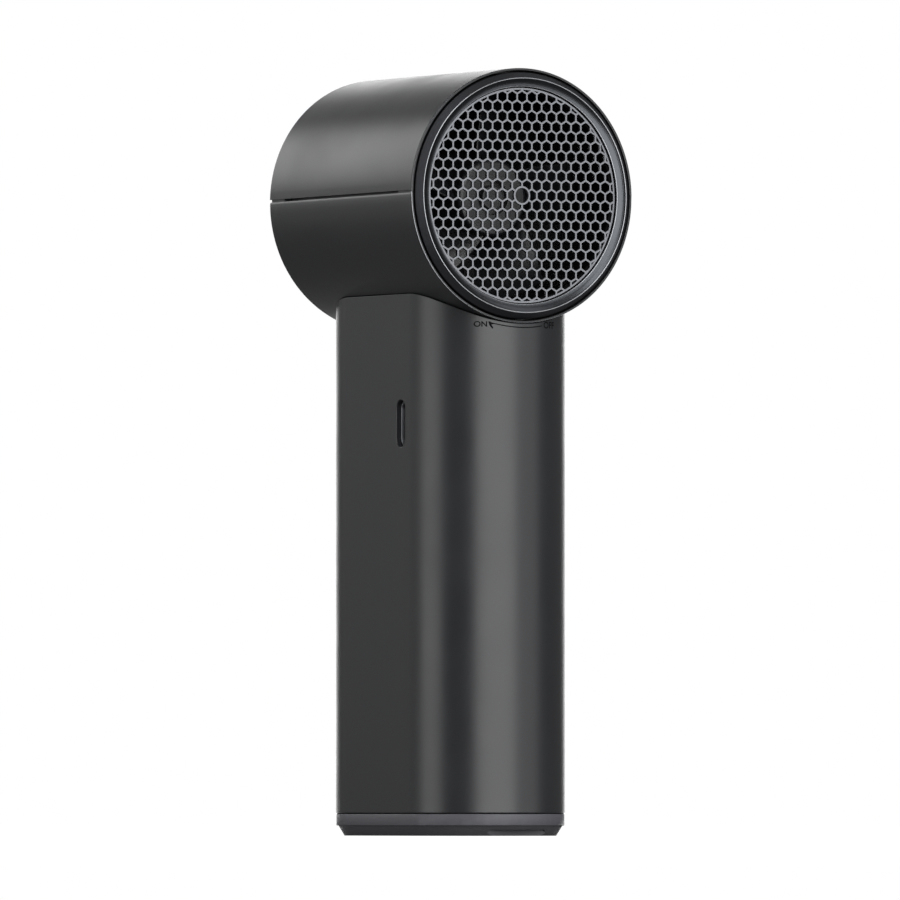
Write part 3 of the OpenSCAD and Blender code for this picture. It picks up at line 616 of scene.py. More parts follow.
def half_shell(name, side, stop, s, segments=128):
    """One half of the head's tube with a rebate at each end, ended level at the seam.

    The rear lip's tip, past the stop, reaches the seam's middle.
    """
    gap, tip = s.seam_lift + side * s.seam_w / 2, s.seam_lift
    profile = [(s.head_r, -s.end_y, gap), (s.head_r, stop, gap), (s.head_r, stop, tip),
               (s.head_r, s.end_y, tip), (s.lip_in_r, s.end_y, tip), (s.lip_in_r, stop, tip),
               (s.lip_in_r, stop, gap), (s.lip_in_r, s.rebate_y, gap),
               (s.shell_in_r, s.rebate_y, gap), (s.shell_in_r, -s.rebate_y, gap),
               (s.lip_in_r, -s.rebate_y, gap), (s.lip_in_r, -s.end_y, gap)]
    n, points = len(profile), []
    # The sweep runs in even steps from here to as far on the other side, and then to the seam
    first = side * radians(4)
    for i in range(segments + 1):
        for r, y, height in profile:
            start = asin(height / r)
            inner = first + side * (pi - 2 * abs(first)) * (i - 1) / (segments - 2)
            turn = start if i == 0 else side * pi - start if i == segments else inner
            points.append(on_head(r, turn, y, s))
    faces = []
    # At each end of the sweep: the seam's face, the lip tip's face and the step between them
    for base in (0, segments * n):
        faces += [[base + k for k in ring] for ring in
                  ((0, 1, 6, 7, 8, 9, 10, 11), (1, 2, 5, 6), (2, 3, 4, 5))]
    for i in range(segments):
        a, b = i * n, (i + 1) * n
        end = a if i == 0 else b
        for k in set(range(n)) - {1, 5}:
            face = [a + k, a + (k + 1) % n, b + (k + 1) % n, b + k]
            if i in (0, segments - 1) and k == 2:
                face.append(end + 1)
            if i in (0, segments - 1) and k == 4:
                face.insert(2, end + 6)
            faces.append(face)
    return piece(name, points, faces)


class BLOWER_OT_head_shells(bpy.types.Operator):
    """Upper and lower head shells with the seam between them"""

    bl_idname = "blower.head_shells"
    bl_label = "Head shells"

    # In millimetres: how far short of the rear end the groove stops
    groove_stop = 0.5
    # The neck's outer and inner face, in from the handle's outside, its foot and how deep its
    # top lies in the shell
    neck_out, neck_in, neck_z, neck_sunk = 1.65, 3.05, 92, 0.3
    # The bright edge of a lip: its width, and what is left out at the very end
    lip_edge, lip_face = 0.16, 0.005
    # The tongues: their depth below the seam, and their thickness in the shell and in the lips
    key_low, key_thick, lip_key_thick = 1, 0.9, 0.2
    # The slope under the seam, in degrees from the vertical
    seam_slope = 26

    def execute(self, context):
        s = sizes()
        stop = s.end_y - self.groove_stop
        paint = material("satin_painted_abs")
        bright = material("bright_cut_edge")
        for side, name in ((1, "upper_shell"), (-1, "lower_shell")):
            shell = half_shell(name, side, stop, s)
            baked(soften(shell, s.edge * 0.7, segments=3))
            marked(shell, 1, lambda at, out: self.on_lip(at, s))
            if side > 0:
                finished(settled(shell), paint, "housing", "head_grey", "head_shell_upper",
                         second=(bright,))
            else:
                self.ease_seam(shell, s.seam_z - s.seam_w / 2, stop, s)
                top_r = s.head_r - self.neck_sunk
                neck = columns("neck", slot_points(s.handle_r - self.neck_out, s.handle_s),
                               slot_points(s.handle_r - self.neck_in, s.handle_s),
                               lambda x: self.neck_z,
                               lambda x: s.axis_z - sqrt(top_r ** 2 - x * x))
                shell = joined("lower_shell_and_neck", [shell, neck] + self.keys(stop, s))
                finished(settled(shell), paint, "housing", "head_grey", "head_shell_lower",
                         second=(bright,))
        return {"FINISHED"}

    def on_lip(self, at, s):
        """Whether a place lies on the broken outer edge of one of the two thin lips."""
        r = sqrt(at.x ** 2 + (at.z - s.axis_z) ** 2)
        return (r > s.head_r - self.lip_edge and
                s.end_y - self.lip_edge < abs(at.y) < s.end_y - self.lip_face)

    def ease_seam(self, shell, z, stop, s):
        """Eases the lower shell's two long edges at a slope that clears the upper shell's view."""
        tall, deep = s.seam_chamfer, s.seam_chamfer * sin(radians(self.seam_slope))
        for x in (-s.head_r, s.head_r):
            wedge = [(x - deep, z), (x, z + tall), (x + deep, z), (x, z - tall)]
            carve(shell, prism("wedge", wedge, -s.end_y - 2, stop, "y"))

    def keys(self, stop, s):
        """Tongues behind the seam, which keep the light out of it."""
        low, high = s.seam_z - self.key_low, s.seam_z + s.seam_w / 2
        shell_key, lip_key = s.shell_in_r - self.key_thick, s.lip_in_r + self.lip_key_thick
        keys = []
        for x in (-1, 1):
            for r0, r1, y0, y1 in ((shell_key, s.shell_in_r, -s.rebate_y, s.rebate_y),
                                   (s.lip_in_r, lip_key, s.rebate_y, stop),
                                   (s.lip_in_r, lip_key, -stop, -s.rebate_y)):
                outline = [(y0, low), (y1, low), (y1, high), (y0, high)]
                keys.append(prism("key", outline, min(x * r0, x * r1), max(x * r0, x * r1)))
        return keys


class BLOWER_OT_end_rings(bpy.types.Operator):
    """Speed ring at the intake and the bezel round the outlet"""

    bl_idname = "blower.end_rings"
    bl_label = "Speed ring and bezel"

    # In millimetres: how far the ring's and the bezel's bores lie outside the duct's bore
    ring_bore_out, bezel_bore_out = 1.35, 0.4
    # The ledge that carries the mesh: its width and its thickness
    ledge_w, ledge_t = 0.9, 1
    # Play between the ring and the end of its groove, and how far the bezel fills its own
    ring_play, bezel_in, bezel_fit = 0.2, 0.1, 0.05
    # The bezel's flange, and its lead into the bore: how deep and how wide
    flange_t, lead_y, lead_r = 0.8, 0.6, 0.2
    # The dish's bow: 0 makes it a straight cone, 1 makes it level at the inner edge
    dish_bow = 0.85
    # The round on every edge, and how far from an edge's middle its bright cut reaches
    edge_round, cut_reach = 0.2, 0.17

    def execute(self, context):
        s = sizes()
        finishes = [material(name) for name in
                    ("black_anodised_ring", "turned_bevel", "bright_cut_edge",
                     "moulded_black_abs")]
        ring_bore = s.bore_r + self.ring_bore_out
        start_y, mesh_low = s.rebate_y + self.ring_play, s.mesh_y - s.mesh_t
        ledge_r, ledge_low = s.recess_r - self.ledge_w, mesh_low - self.ledge_t
        crest = (s.crest_r, s.end_y + s.ring_proud)
        inner = (s.recess_r, s.mesh_y + s.mesh_recess)
        ring = lathe("turned_speed_ring", [
            (s.ring_r, start_y), (s.ring_r, s.end_y), crest, *self.dish(crest, inner), inner,
            (s.recess_r, mesh_low), (ledge_r, mesh_low), (ledge_r, ledge_low),
            (ring_bore, ledge_low), (ring_bore, start_y),
        ], s)
        self.edged(ring, crest, inner, 1, s)
        finished(ring, finishes[0], "speed_ring", "ring_black", "speed_ring",
                 second=finishes[1:])
        bore, out_r = s.bore_r + self.bezel_bore_out, s.lip_in_r - self.bezel_fit
        start_y, flange_y = -s.rebate_y - self.bezel_in, -s.end_y + self.flange_t
        crest, inner = (s.crest_r, -s.end_y - s.ring_proud), (bore + self.lead_r, -s.end_y)
        bezel = lathe("turned_outlet_bezel", [
            (out_r, start_y), (out_r, flange_y), (s.ring_r, flange_y), (s.ring_r, -s.end_y),
            crest, *self.dish(crest, inner), inner, (bore, -s.end_y + self.lead_y),
            (bore, start_y),
        ], s)
        self.edged(bezel, crest, inner, -1, s)
        finished(bezel, finishes[0], "housing", "ring_black", "outlet_bezel",
                 second=finishes[1:])
        return {"FINISHED"}

    def dish(self, crest, inner, steps=12):
        """Points of the shallow dish, steep at the crest and nearly flat at the inner edge."""
        (r0, y0), (r1, y1) = crest, inner
        return [(r0 + (r1 - r0) * t, y0 + (y1 - y0) * (1 - (1 - t) * (1 - self.dish_bow * t)))
                for t in (i / steps for i in range(1, steps))]

    def edged(self, ring, crest, inner, side, s):
        """Rounds the edges, and marks the dish, its two bright-cut edges and the bore, whose
        near-black matt ABS is painted shade.
        """
        baked(soften(ring, self.edge_round, segments=3, angle=20))

        def from_axis(at):
            return sqrt(at.x ** 2 + (at.z - s.axis_z) ** 2)

        # The bore gets near-black matt ABS: painted shade, darker than the ring's own anodising
        marked(ring, 3, lambda at, out: from_axis(at) < inner[0] - 0.05)
        marked(ring, 1, lambda at, out: inner[0] < from_axis(at) < crest[0] and
               side * out.y > 0.6 and side * at.y > side * inner[1] - 0.05)
        for edge in (crest, inner):
            marked(ring, 2, lambda at, out: side * out.y > 0.2 and
                   sqrt((from_axis(at) - edge[0]) ** 2 + (at.y - edge[1]) ** 2)
                   < self.cut_reach)


class BLOWER_OT_intake_mesh(bpy.types.Operator):
    """Hexagonal mesh with a round eye, cut out of a steel disc"""

    bl_idname = "blower.intake_mesh"
    bl_label = "Intake mesh"

    def execute(self, context):
        s = sizes()
        tree, keys = geometry_tree("hexagonal_mesh", {
            "Pitch": "NodeSocketFloat", "Rib": "NodeSocketFloat", "Open radius": "NodeSocketFloat",
            "Eye radius": "NodeSocketFloat", "Thickness": "NodeSocketFloat",
            "Height": "NodeSocketFloat", "Depth": "NodeSocketFloat",
            "Rows": "NodeSocketInt"})
        self.build(tree, material("etched_steel_mesh"))
        y0, y1 = s.mesh_y - s.mesh_t, s.mesh_y
        disc = lathe("hex_intake_mesh", [(s.mesh_r, y0), (s.mesh_r, y1), (s.mesh_eye, y1),
                                         (s.mesh_eye, y0)], s)
        grown(disc, tree, keys, {
            "Pitch": s.mesh_pitch * MM, "Rib": s.mesh_rib * MM,
            "Open radius": (s.mesh_r - s.mesh_rim) * MM,
            "Eye radius": (s.mesh_eye + s.mesh_rim) * MM, "Thickness": s.mesh_t * MM,
            "Height": s.axis_z * MM, "Depth": (y0 + y1) / 2 * MM, "Rows": 25})
        soften(smoothed(disc), 0.05, segments=1)
        finished(disc, material("etched_steel_mesh"), "speed_ring", "mesh_steel",
                 "intake_mesh")
        return {"FINISHED"}

    def build(self, tree, mat):
        """Cuts rows of hexagonal pins, trimmed to the rim and the eye, out of the disc."""
        given = put(tree, "NodeGroupInput").outputs
        count = put(tree, "ShaderNodeMath", {0: given["Rows"], 1: given["Rows"]},
                    operation="MULTIPLY")
        grid = put(tree, "GeometryNodePoints", {"Count": count.outputs[0]})
        index = put(tree, "GeometryNodeInputIndex").outputs[0]
        over = put(tree, "ShaderNodeMath", {0: index, 1: given["Rows"]}, operation="DIVIDE")
        row = put(tree, "ShaderNodeMath", {0: over.outputs[0]}, operation="FLOOR").outputs[0]
        col = put(tree, "ShaderNodeMath", {0: index, 1: given["Rows"]},
                  operation="MODULO").outputs[0]
        half = put(tree, "ShaderNodeMath", {0: given["Rows"], 1: 0.5}, operation="MULTIPLY")
        middle = put(tree, "ShaderNodeMath", {0: half.outputs[0]}, operation="FLOOR").outputs[0]
        up = put(tree, "ShaderNodeMath", {0: row, 1: middle}, operation="SUBTRACT").outputs[0]
        across = put(tree, "ShaderNodeMath", {0: col, 1: middle},
                     operation="SUBTRACT").outputs[0]
        odd = put(tree, "ShaderNodeMath", {0: up, 1: 2.0}, operation="MODULO")
        odd = put(tree, "ShaderNodeMath", {0: odd.outputs[0]}, operation="ABSOLUTE")
        shift = put(tree, "ShaderNodeMath", {0: odd.outputs[0], 1: 0.5}, operation="MULTIPLY")
        across = put(tree, "ShaderNodeMath", {0: across, 1: shift.outputs[0]}, operation="ADD")
        x = put(tree, "ShaderNodeMath", {0: across.outputs[0], 1: given["Pitch"]},
                operation="MULTIPLY")
        x = put(tree, "ShaderNodeMath", {0: x.outputs[0], 1: -1.0}, operation="MULTIPLY")
        pitch_up = put(tree, "ShaderNodeMath", {0: given["Pitch"], 1: sin(pi / 3)},
                       operation="MULTIPLY")
        z = put(tree, "ShaderNodeMath", {0: up, 1: pitch_up.outputs[0]}, operation="MULTIPLY")
        place = put(tree, "ShaderNodeCombineXYZ", {0: x.outputs[0], 1: 0.0, 2: z.outputs[0]})
        distance = put(tree, "ShaderNodeVectorMath", {0: place.outputs[0]}, operation="LENGTH")
        opening = put(tree, "ShaderNodeMath", {0: given["Pitch"], 1: given["Rib"]},
                      operation="SUBTRACT")
        corner = put(tree, "ShaderNodeMath", {0: opening.outputs[0], 1: 0.5 / cos(pi / 6)},
                     operation="MULTIPLY").outputs[0]
        far = put(tree, "ShaderNodeMath", {0: given["Open radius"], 1: corner}, operation="ADD")
        outside = put(tree, "ShaderNodeMath", {0: distance.outputs["Value"], 1: far.outputs[0]},
                      operation="GREATER_THAN")
        near = put(tree, "ShaderNodeMath", {0: given["Pitch"], 1: 0.5}, operation="MULTIPLY")
        inside = put(tree, "ShaderNodeMath", {0: distance.outputs["Value"], 1: near.outputs[0]},
                     operation="LESS_THAN")
        drop = put(tree, "ShaderNodeMath", {0: outside.outputs[0], 1: inside.outputs[0]},
                   operation="ADD")
        placed = put(tree, "GeometryNodeSetPosition", {"Geometry": grid.outputs[0],
                                                       "Position": place.outputs[0]})
        kept = put(tree, "GeometryNodeDeleteGeometry", {"Geometry": placed.outputs[0],
                                                        "Selection": drop.outputs[0]},
                   domain="POINT")
        deep = put(tree, "ShaderNodeMath", {0: given["Thickness"], 1: 3.0},
                   operation="MULTIPLY").outputs[0]
        pin = put(tree, "GeometryNodeMeshCylinder", {"Vertices": 6, "Radius": corner,
                                                     "Depth": deep})
        # The pins lie along the air path with a corner upwards
        rows = put(tree, "GeometryNodeInstanceOnPoints", {
            "Points": kept.outputs[0], "Instance": pin.outputs["Mesh"],
            "Rotation": (pi / 2, pi / 6, 0)})
        pins = put(tree, "GeometryNodeRealizeInstances", {0: rows.outputs[0]})
        rim = put(tree, "GeometryNodeMeshCylinder", {"Vertices": 192, "Depth": deep,
                                                     "Radius": given["Open radius"]})
        eye = put(tree, "GeometryNodeMeshCylinder", {"Vertices": 64, "Depth": deep,
                                                     "Radius": given["Eye radius"]})
        thick = put(tree, "ShaderNodeMath", {0: deep, 1: 2.0}, operation="MULTIPLY")
        tree.links.new(thick.outputs[0], eye.inputs["Depth"])
        across_rim = put(tree, "GeometryNodeTransform", {"Geometry": rim.outputs["Mesh"],
                                                         "Rotation": (pi / 2, 0, 0)})
        across_eye = put(tree, "GeometryNodeTransform", {"Geometry": eye.outputs["Mesh"],
                                                         "Rotation": (pi / 2, 0, 0)})
        trimmed = put(tree, "GeometryNodeMeshBoolean", {"Mesh 2": pins.outputs[0]},
                      operation="INTERSECT", solver="EXACT")
        tree.links.new(across_rim.outputs[0], trimmed.inputs["Mesh 2"])
        cleared = put(tree, "GeometryNodeMeshBoolean", {"Mesh 1": trimmed.outputs[0],
                                                        "Mesh 2": across_eye.outputs[0]},
                      operation="DIFFERENCE", solver="EXACT")
        centre = put(tree, "ShaderNodeCombineXYZ", {0: 0.0, 1: given["Depth"],
                                                    2: given["Height"]})
        moved = put(tree, "GeometryNodeTransform", {"Geometry": cleared.outputs[0],
                                                    "Translation": centre.outputs[0]})
        cut = put(tree, "GeometryNodeMeshBoolean", {"Mesh 1": given["Geometry"],
                                                    "Mesh 2": moved.outputs[0]},
                  operation="DIFFERENCE", solver="EXACT")
        end_tree(tree, cut.outputs[0], mat)


# --- Impeller and guide vanes ---

def round_axis_tree(mat):
    """Repeats a piece about the air path's axis, from a first place to the last."""
    tree, keys = geometry_tree("round_the_axis", {
        "Count": "NodeSocketInt", "First": "NodeSocketInt", "Places": "NodeSocketInt",
        "Height": "NodeSocketFloat"})
    given = put(tree, "NodeGroupInput").outputs
    spots = put(tree, "GeometryNodePoints", {"Count": given["Count"]})
    index = put(tree, "GeometryNodeInputIndex").outputs[0]
    place = put(tree, "ShaderNodeMath", {0: index, 1: given["First"]}, operation="ADD")
    share = put(tree, "ShaderNodeMath", {0: place.outputs[0], 1: given["Places"]},
                operation="DIVIDE")
    angle = put(tree, "ShaderNodeMath", {0: share.outputs[0], 1: 2 * pi}, operation="MULTIPLY")
    turn = put(tree, "ShaderNodeCombineXYZ", {0: 0.0, 1: angle.outputs[0], 2: 0.0})
    around = put(tree, "GeometryNodeInstanceOnPoints", {
        "Points": spots.outputs[0], "Instance": given["Geometry"],
        "Rotation": turn.outputs[0]})
    lift = put(tree, "ShaderNodeCombineXYZ", {0: 0.0, 1: 0.0, 2: given["Height"]})
    moved = put(tree, "GeometryNodeTransform", {"Geometry": around.outputs[0],
                                                "Translation": lift.outputs[0]})
    end_tree(tree, moved.outputs[0], mat)
    return tree, keys


class BLOWER_OT_impeller(bpy.types.Operator):
    """Impeller: a flared hub and swept blades"""

    bl_idname = "blower.impeller"
    bl_label = "Impeller"

    # In millimetres: radii of the blades' tips, of the hollow for the motor and of the boss and
    # its bore
    tip_r, hollow_r, boss_r, shaft_r = 20.6, 6.35, 3.3, 1.5
    # The cap's radius and thickness, and the groove round it
    cap_r, cap_t, groove_w = 2.4, 1.5, 1
    # Thickness of the hub's end wall, and how far the boss stops short of the front
    web_t, boss_short = 3.1, 0.6
    # How deep the blades' roots lie in the hub
    root_sunk = 0.725

    def execute(self, context):
        s = sizes()
        nylon = material("glass_filled_nylon")
        tree, keys = round_axis_tree(nylon)
        blades = grown(self.blade(s), tree, keys, {
            "Count": s.blades, "First": 0, "Places": s.blades, "Height": s.axis_z * MM})
        soften(smoothed(blades), 0.08, angle=50)
        fan = joined("swept_impeller", [baked(blades), self.hub(s)])
        finished(fan, nylon, "rotor", "fan_grey", "impeller")
        cap_y = s.fan_y - self.cap_t
        cap = lathe("hub_cap", [(0, s.fan_y), (self.cap_r, s.fan_y), (self.cap_r, cap_y),
                                (0, cap_y)], s, 96)
        soften(cap, 0.25, segments=3)
        finished(cap, nylon, "rotor", "fan_grey", "impeller_cap")
        return {"FINISHED"}

    def hub(self, s):
        groove_r, groove_y = self.cap_r + self.groove_w, s.fan_y - self.cap_t
        web_y, boss_y, e = s.fan_y - self.web_t, s.fan_front + self.boss_short, s.hub_edge
        edge = [(s.hub_r - e * (1 - sin(a)), s.fan_y - e * (1 - cos(a)))
                for a in (pi / 2 * i / 8 for i in range(8))]
        side = [(s.hub_r + (s.vane_hub_r - s.hub_r) * t ** 1.5,
                 s.fan_y - e - (s.fan_len - e) * t) for t in (i / 24 for i in range(25))]
        profile = [(groove_r, s.fan_y)] + edge + side + [
            (self.hollow_r, s.fan_front), (self.hollow_r, web_y), (self.boss_r, web_y),
            (self.boss_r, boss_y), (self.shaft_r, boss_y), (self.shaft_r, groove_y),
            (groove_r, groove_y)]
        return baked(soften(lathe("hub", profile, s, 192), 0.12, angle=40))

    def blade(self, s):
        """Sections from inside the hub to the tip, thin at both edges, twisted and swept back.

        Seen from behind the fan turns anticlockwise, with its rear edges ahead.
        """
        spans, chords, root = 18, 22, s.hub_r - self.root_sunk

        def at(u, t, side):
            """A point at the share u of the span and t of the chord, on one side of the blade."""
            r = root + (self.tip_r - root) * u
            y_rear = s.fan_y - 0.9 - 1.6 * u * u
            y_front = s.fan_front + 0.7 + 0.8 * u
            # In degrees: the rear edge's sweep along the span, and the twist along the chord
            sweep = 43.5 - 38 * u + 15.5 * u * u
            twist = (46 - 14 * u) * t ** 0.85
            # Thickest at the root and in the middle of the chord
            half = (1.3 - 0.6 * u) / 2 * (0.25 + 0.75 * sin(pi * t))
            a = radians(sweep - twist) + side * half / r
            # The two sides also stand apart along the air path, as the blade lies aslant
            y = y_rear + (y_front - y_rear) * t - side * half * 0.6
            return (-r * cos(a), y, r * sin(a))

        sections = []
        for i in range(spans + 1):
            u = i / spans
            sections.append([at(u, j / chords, 1) for j in range(chords + 1)] +
                            [at(u, j / chords, -1) for j in range(chords, -1, -1)])
        return strip_solid("blade", sections)


class BLOWER_OT_guide_vanes(bpy.types.Operator):
    """Guide vanes, their hub and ring, and the tail cone"""

    bl_idname = "blower.guide_vanes"
    bl_label = "Guide vanes"

    # In millimetres: walls of the hub and the ring, and the length of the motor's bore
    hub_wall, ring_wall, motor_len = 1.1, 0.85, 14.4
    # The lip that the motor rests on: its width and thickness
    lip_w, lip_t = 1.1, 1.5
    # How far the ring stops short at its inner end, and the cone's play in the hub's bore and
    # before the lip
    ring_short, cone_play, cone_gap = 0.05, 0.05, 0.1
    nose_len = 7
    # How far the vanes and the strut stop short of the hub's ends, and half the strut's width
    vane_short, strut_half = 0.8, 1.5
    # How deep the vanes' and the strut's tips lie in the ring
    tip_in = 0.4

    def execute(self, context):
        s = sizes()
        plastic = material("moulded_vane_abs")
        tree, keys = round_axis_tree(plastic)
        vanes = grown(self.vane(s), tree, keys, {
            "Count": s.vanes - 1, "First": 1, "Places": s.vanes, "Height": s.axis_z * MM})
        bore, out_r = s.vane_hub_r - self.hub_wall, s.bore_r + self.ring_wall
        stop, ring_y = s.vane_y - self.motor_len, s.vane_y - self.ring_short
        lip_r, lip_y = bore - self.lip_w, stop - self.lip_t
        hub = soften(lathe("vane_hub", [
            (bore, s.vane_y), (s.vane_hub_r, s.vane_y), (s.vane_hub_r, s.vane_front),
            (bore, s.vane_front), (bore, lip_y), (lip_r, lip_y), (lip_r, stop), (bore, stop)],
            s, 192), 0.1)
        ring = soften(lathe("vane_ring", [
            (out_r, -s.rebate_y), (out_r, ring_y), (s.bore_r, ring_y),
            (s.bore_r, -s.rebate_y)], s), 0.1)
        stator = joined("guide_vane_set", [
            baked(soften(smoothed(vanes), 0.12, angle=50)), baked(hub), baked(ring),
            self.strut(s)])
        finished(stator, plastic, "housing", "vane_grey", "guide_vanes")
        nose = [(s.vane_hub_r * cos(a), s.vane_front - self.nose_len * sin(a))
                for a in (pi / 2 * i / 32 for i in range(33))]
        nose[-1] = (0, nose[-1][1])
        plug_r, plug_y = bore - self.cone_play, stop - self.lip_t - self.cone_gap
        cone = lathe("rounded_tail_cone", nose + [
            (0, plug_y), (plug_r, plug_y), (plug_r, s.vane_front)], s, 192)
        soften(cone, 0.1)
        finished(cone, plastic, "housing", "vane_grey", "tail_cone")
        return {"FINISHED"}

    def vane(self, s):
        """One vane at the strut's place; its section leans away from the air path."""
        root, tip = s.vane_hub_r - self.hub_wall / 2, s.bore_r + self.tip_in
        y0 = s.vane_front + self.vane_short
        chord = s.vane_y - self.vane_short - y0
        lean, steps = radians(38), 20

        def at(t, side):
            """A point at the share t of the chord; the vane thickens towards its middle."""
            across = chord * (1 - cos(lean * t)) / sin(lean)
            half = 0.25 + 0.45 * sin(pi * min(1, 0.12 + 0.8 * t))
            return across + side * half, y0 + chord * t

        outline = [at(j / steps, 1) for j in range(steps + 1)]
        outline += [at(j / steps, -1) for j in range(steps, -1, -1)]
        # Drawn out along the radius that points straight down
        sections = [[(u, y, -r) for u, y in outline]
                    for r in (root, 0.7 * root + 0.3 * tip, 0.3 * root + 0.7 * tip, tip)]
        return strip_solid("vane", sections)

    def strut(self, s):
        """The thicker strut that stands under the hub and carries the leads."""
        short, half = self.vane_short, self.strut_half
        y0, y1 = s.vane_front + short + half, s.vane_y - short - half
        outline = [(x, y + (y0 + y1) / 2) for x, y in slot_points(half, y1 - y0, 24, 2)]
        bar = prism("strut", outline, s.axis_z - s.bore_r - self.tip_in,
                    s.axis_z - s.vane_hub_r + self.hub_wall / 2, "z")
        return baked(soften(bar, 0.1))


# --- Handle ---

class BLOWER_OT_handle(bpy.types.Operator):
    """Handle shell with its saddle and the charging slot"""

    bl_idname = "blower.handle"
    bl_label = "Handle"

    # In millimetres: the charging slot's half width and the length between its round ends, and
    # how far its cut reaches to either side of the handle's face
    slot_r, slot_flat, slot_reach = 1.73, 5.78, 4
    # The rib's outer and inner face, in from the handle's outside, and its rise in the handle
    rib_out, rib_in, rib_up = 0.25, 1.2, 0.2

    def execute(self, context):
        s = sizes()
        r = s.head_r + s.saddle_gap
        shell = columns("handle_tube", slot_points(s.handle_r, s.handle_s),
                        slot_points(s.handle_r - s.handle_wall, s.handle_s),
                        lambda x: s.handle_z, lambda x: s.axis_z - sqrt(r * r - x * x))
        slot = [(s.port_y + y, s.port_z + z)
                for y, z in slot_points(self.slot_r, self.slot_flat, 32, 2)]
        carve(shell, prism("slot", slot, s.handle_r - self.slot_reach,
                           s.handle_r + self.slot_reach))
        soften(shell, s.edge)
        finished(shell, material("satin_painted_handle"), "housing", "handle_grey",
                 "handle_shell")
        # A rib behind the groove above the base band, so that no light shows through it
        rib = columns("handle_rib", slot_points(s.handle_r - self.rib_out, s.handle_s),
                      slot_points(s.handle_r - self.rib_in, s.handle_s),
                      lambda x: s.handle_z - s.base_gap, lambda x: s.handle_z + self.rib_up)
        finished(rib, material("moulded_black_abs"), "housing", "handle_grey")
        return {"FINISHED"}


class BLOWER_OT_charging_socket(bpy.types.Operator):
    """Charging socket: steel shell and tongue"""

    bl_idname = "blower.charging_socket"
    bl_label = "Charging socket"

    def execute(self, context):
        s = sizes()
        shell = soften(refined("socket_shell", "usb_socket_shell"), 0.06)
        finished(shell, material("socket_steel"), "housing", "steel", "usb_socket_shell")
        tongue = soften(refined("socket_tongue", "usb_tongue"), 0.1)
        finished(tongue, material("black_epoxy"), "housing", "component_black", "usb_tongue")
        return {"FINISHED"}


class BLOWER_OT_base(bpy.types.Operator):
    """Base cap and foot pad"""

    bl_idname = "blower.base"
    bl_label = "Base"

    def execute(self, context):
        cap = soften(refined("base_band", "base_cap"), 0.15)
        finished(cap, material("satin_base_band"), "housing", "cap_grey", "base_cap")
        foot = soften(refined("rubber_foot_pad", "foot_pad"), 0.15, angle=25)
        finished(foot, material("rubber_foot"), "housing", "foot_dark", "foot_pad")
        return {"FINISHED"}


class BLOWER_OT_marks(bpy.types.Operator):
    """Printed ON and OFF marks below the speed ring"""

    bl_idname = "blower.marks"
    bl_label = "Marks"

    # In millimetres, seen from behind: each word with its middle's place and its letters' size
    words = (("ON", -8.37, 100.15, 1.5), ("OFF", 6.62, 100.1, 1.8))
    # The arc's radius, half its width, where it starts and how far it runs
    arc_r, arc_half, arc_from, arc_run = 25.9, 0.1, -6.3, 10.9
    # The arrowhead at the arc's end: its tip, the barb below it and back along the arc
    arrow = ((-7.05, 100.72), (-6.78, 100.72), (-6.05, 100.3), (-6.2, 100.12), (-6.52, 100.2),
             (-6.1, 99.4), (-6.35, 99.32), (-6.85, 99.95))
    # How far the ink stands off the handle
    ink_up = 0.012

    def execute(self, context):
        s = sizes()
        r0, steps = self.arc_r, 40
        turns = [asin((self.arc_from + self.arc_run * i / steps) / r0) - pi / 2
                 for i in range(steps + 1)]
        band = [(r * cos(t), s.axis_z + r * sin(t)) for r, ts in
                ((r0 + self.arc_half, turns), (r0 - self.arc_half, turns[::-1])) for t in ts]
        marks = joined("printed_marks", [self.word(*word) for word in self.words] +
                       [self.flat("arc", band), self.flat("arrow", self.arrow)])
        self.wrap(marks, s)
        finished(marks, material("printed_ink"), "housing", "component_black")
        return {"FINISHED"}

    def word(self, text, x, z, size):
        """A word as a flat mesh."""
        curve = bpy.data.curves.new(text, "FONT")
        curve.body = text
        curve.size = size
        # The font is heavier here than its outline, as screen printing thickens small letters
        curve.offset = 0.03
        curve.align_x, curve.align_y = "CENTER", "CENTER"
        holder = linked(text, curve)
        bpy.context.view_layer.update()
        mesh = bpy.data.meshes.new_from_object(
            holder.evaluated_get(bpy.context.evaluated_depsgraph_get()))
        bpy.data.objects.remove(holder)
        mesh.transform(Matrix.Translation((x, z, 0)))
        return linked(text, mesh)

    def flat(self, name, outline):
        """A flat mesh inside an outline."""
        mesh = bpy.data.meshes.new(name)
        mesh.from_pydata([(u, v, 0) for u, v in outline], [], [tuple(range(len(outline)))])
        return linked(name, mesh)

    def wrap(self, obj, s):
        """Cuts the flat marks into narrow columns and lays them on the handle's round back."""
        bm = bmesh.new()
        bm.from_mesh(obj.data)
        bmesh.ops.triangulate(bm, faces=bm.faces)
        # Cuts every half millimetre, to 12 mm on either side
        for x in (i * 0.5 for i in range(-24, 25)):
            bmesh.ops.bisect_plane(bm, geom=bm.verts[:] + bm.edges[:] + bm.faces[:],
                                   plane_co=(x, 0, 0), plane_no=(1, 0, 0))
        r = s.handle_r + self.ink_up
        for v in bm.verts:
            u, z = v.co.x, v.co.y
            v.co = Vector((-u, s.handle_s / 2 + sqrt(r * r - u * u), z)) * MM
        bmesh.ops.recalc_face_normals(bm, faces=bm.faces)
        for face in bm.faces:
            if face.normal.y < 0:
                face.normal_flip()
        bm.to_mesh(obj.data)
        bm.free()


# --- Inner parts ---

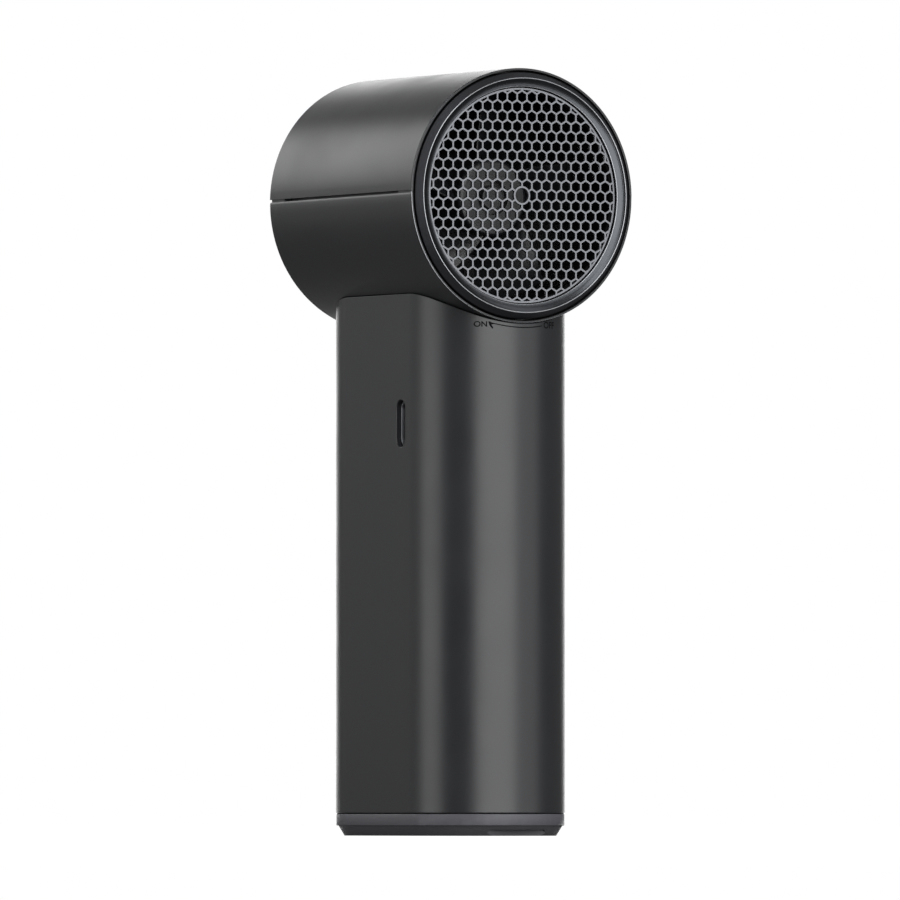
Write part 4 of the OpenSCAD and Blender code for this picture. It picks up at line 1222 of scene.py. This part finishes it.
class BLOWER_OT_inner_parts(bpy.types.Operator):
    """Finishes for the parts inside the casing"""

    bl_idname = "blower.inner_parts"
    bl_label = "Inner parts"

    def execute(self, context):
        for name, nodes in {
            "moulded_black_abs": ["air_duct", "motor_end_cap", "battery_frame"],
            "nickel_steel": ["motor_shaft", "motor_bearings", "retaining_clip", "cell_tabs"],
            "black_steel": ["neck_screws", "base_screws"],
            "magnet_nickel": ["ring_magnet", "rotor_magnet"],
            "zinc_plate": ["motor_can", "stator_core"],
            "enamelled_copper": ["stator_coils"],
            "green_board": ["main_board", "hall_sensor_board"],
            "black_epoxy": ["board_components"],
            "red_silicone": ["motor_leads"],
            "cell_sleeve": ["battery_cells"],
        }.items():
            for node in nodes:
                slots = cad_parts[node].data.materials
                slots.clear()
                slots.append(material(name))
        return {"FINISHED"}


class BLOWER_PT_panel(bpy.types.Panel):
    """Buttons for the blower's pieces"""

    bl_label = "Blower"
    bl_idname = "BLOWER_PT_panel"
    bl_space_type = "VIEW_3D"
    bl_region_type = "UI"
    bl_category = "Blower"

    def draw(self, context):
        for kind in OPERATORS:
            self.layout.operator(kind.bl_idname)
        for group in (context.scene.blower_sizes, context.scene.blower_colours):
            box = self.layout.box()
            for key in type(group).__annotations__:
                box.prop(group, key)


OPERATORS = (BLOWER_OT_stage, BLOWER_OT_head_shells, BLOWER_OT_end_rings, BLOWER_OT_intake_mesh,
             BLOWER_OT_impeller, BLOWER_OT_guide_vanes, BLOWER_OT_handle,
             BLOWER_OT_charging_socket, BLOWER_OT_base, BLOWER_OT_marks, BLOWER_OT_inner_parts)
CLASSES = (BlowerSizes, BlowerColours) + OPERATORS + (BLOWER_PT_panel,)


def register():
    for kind in CLASSES:
        bpy.utils.register_class(kind)
    bpy.types.Scene.blower_sizes = PointerProperty(type=BlowerSizes)
    bpy.types.Scene.blower_colours = PointerProperty(type=BlowerColours)


def unregister():
    del bpy.types.Scene.blower_colours
    del bpy.types.Scene.blower_sizes
    for kind in reversed(CLASSES):
        bpy.utils.unregister_class(kind)


def main():
    register()
    for kind in OPERATORS:
        group, name = kind.bl_idname.split(".")
        getattr(getattr(bpy.ops, group), name)()


if __name__ == "__main__":
    main()
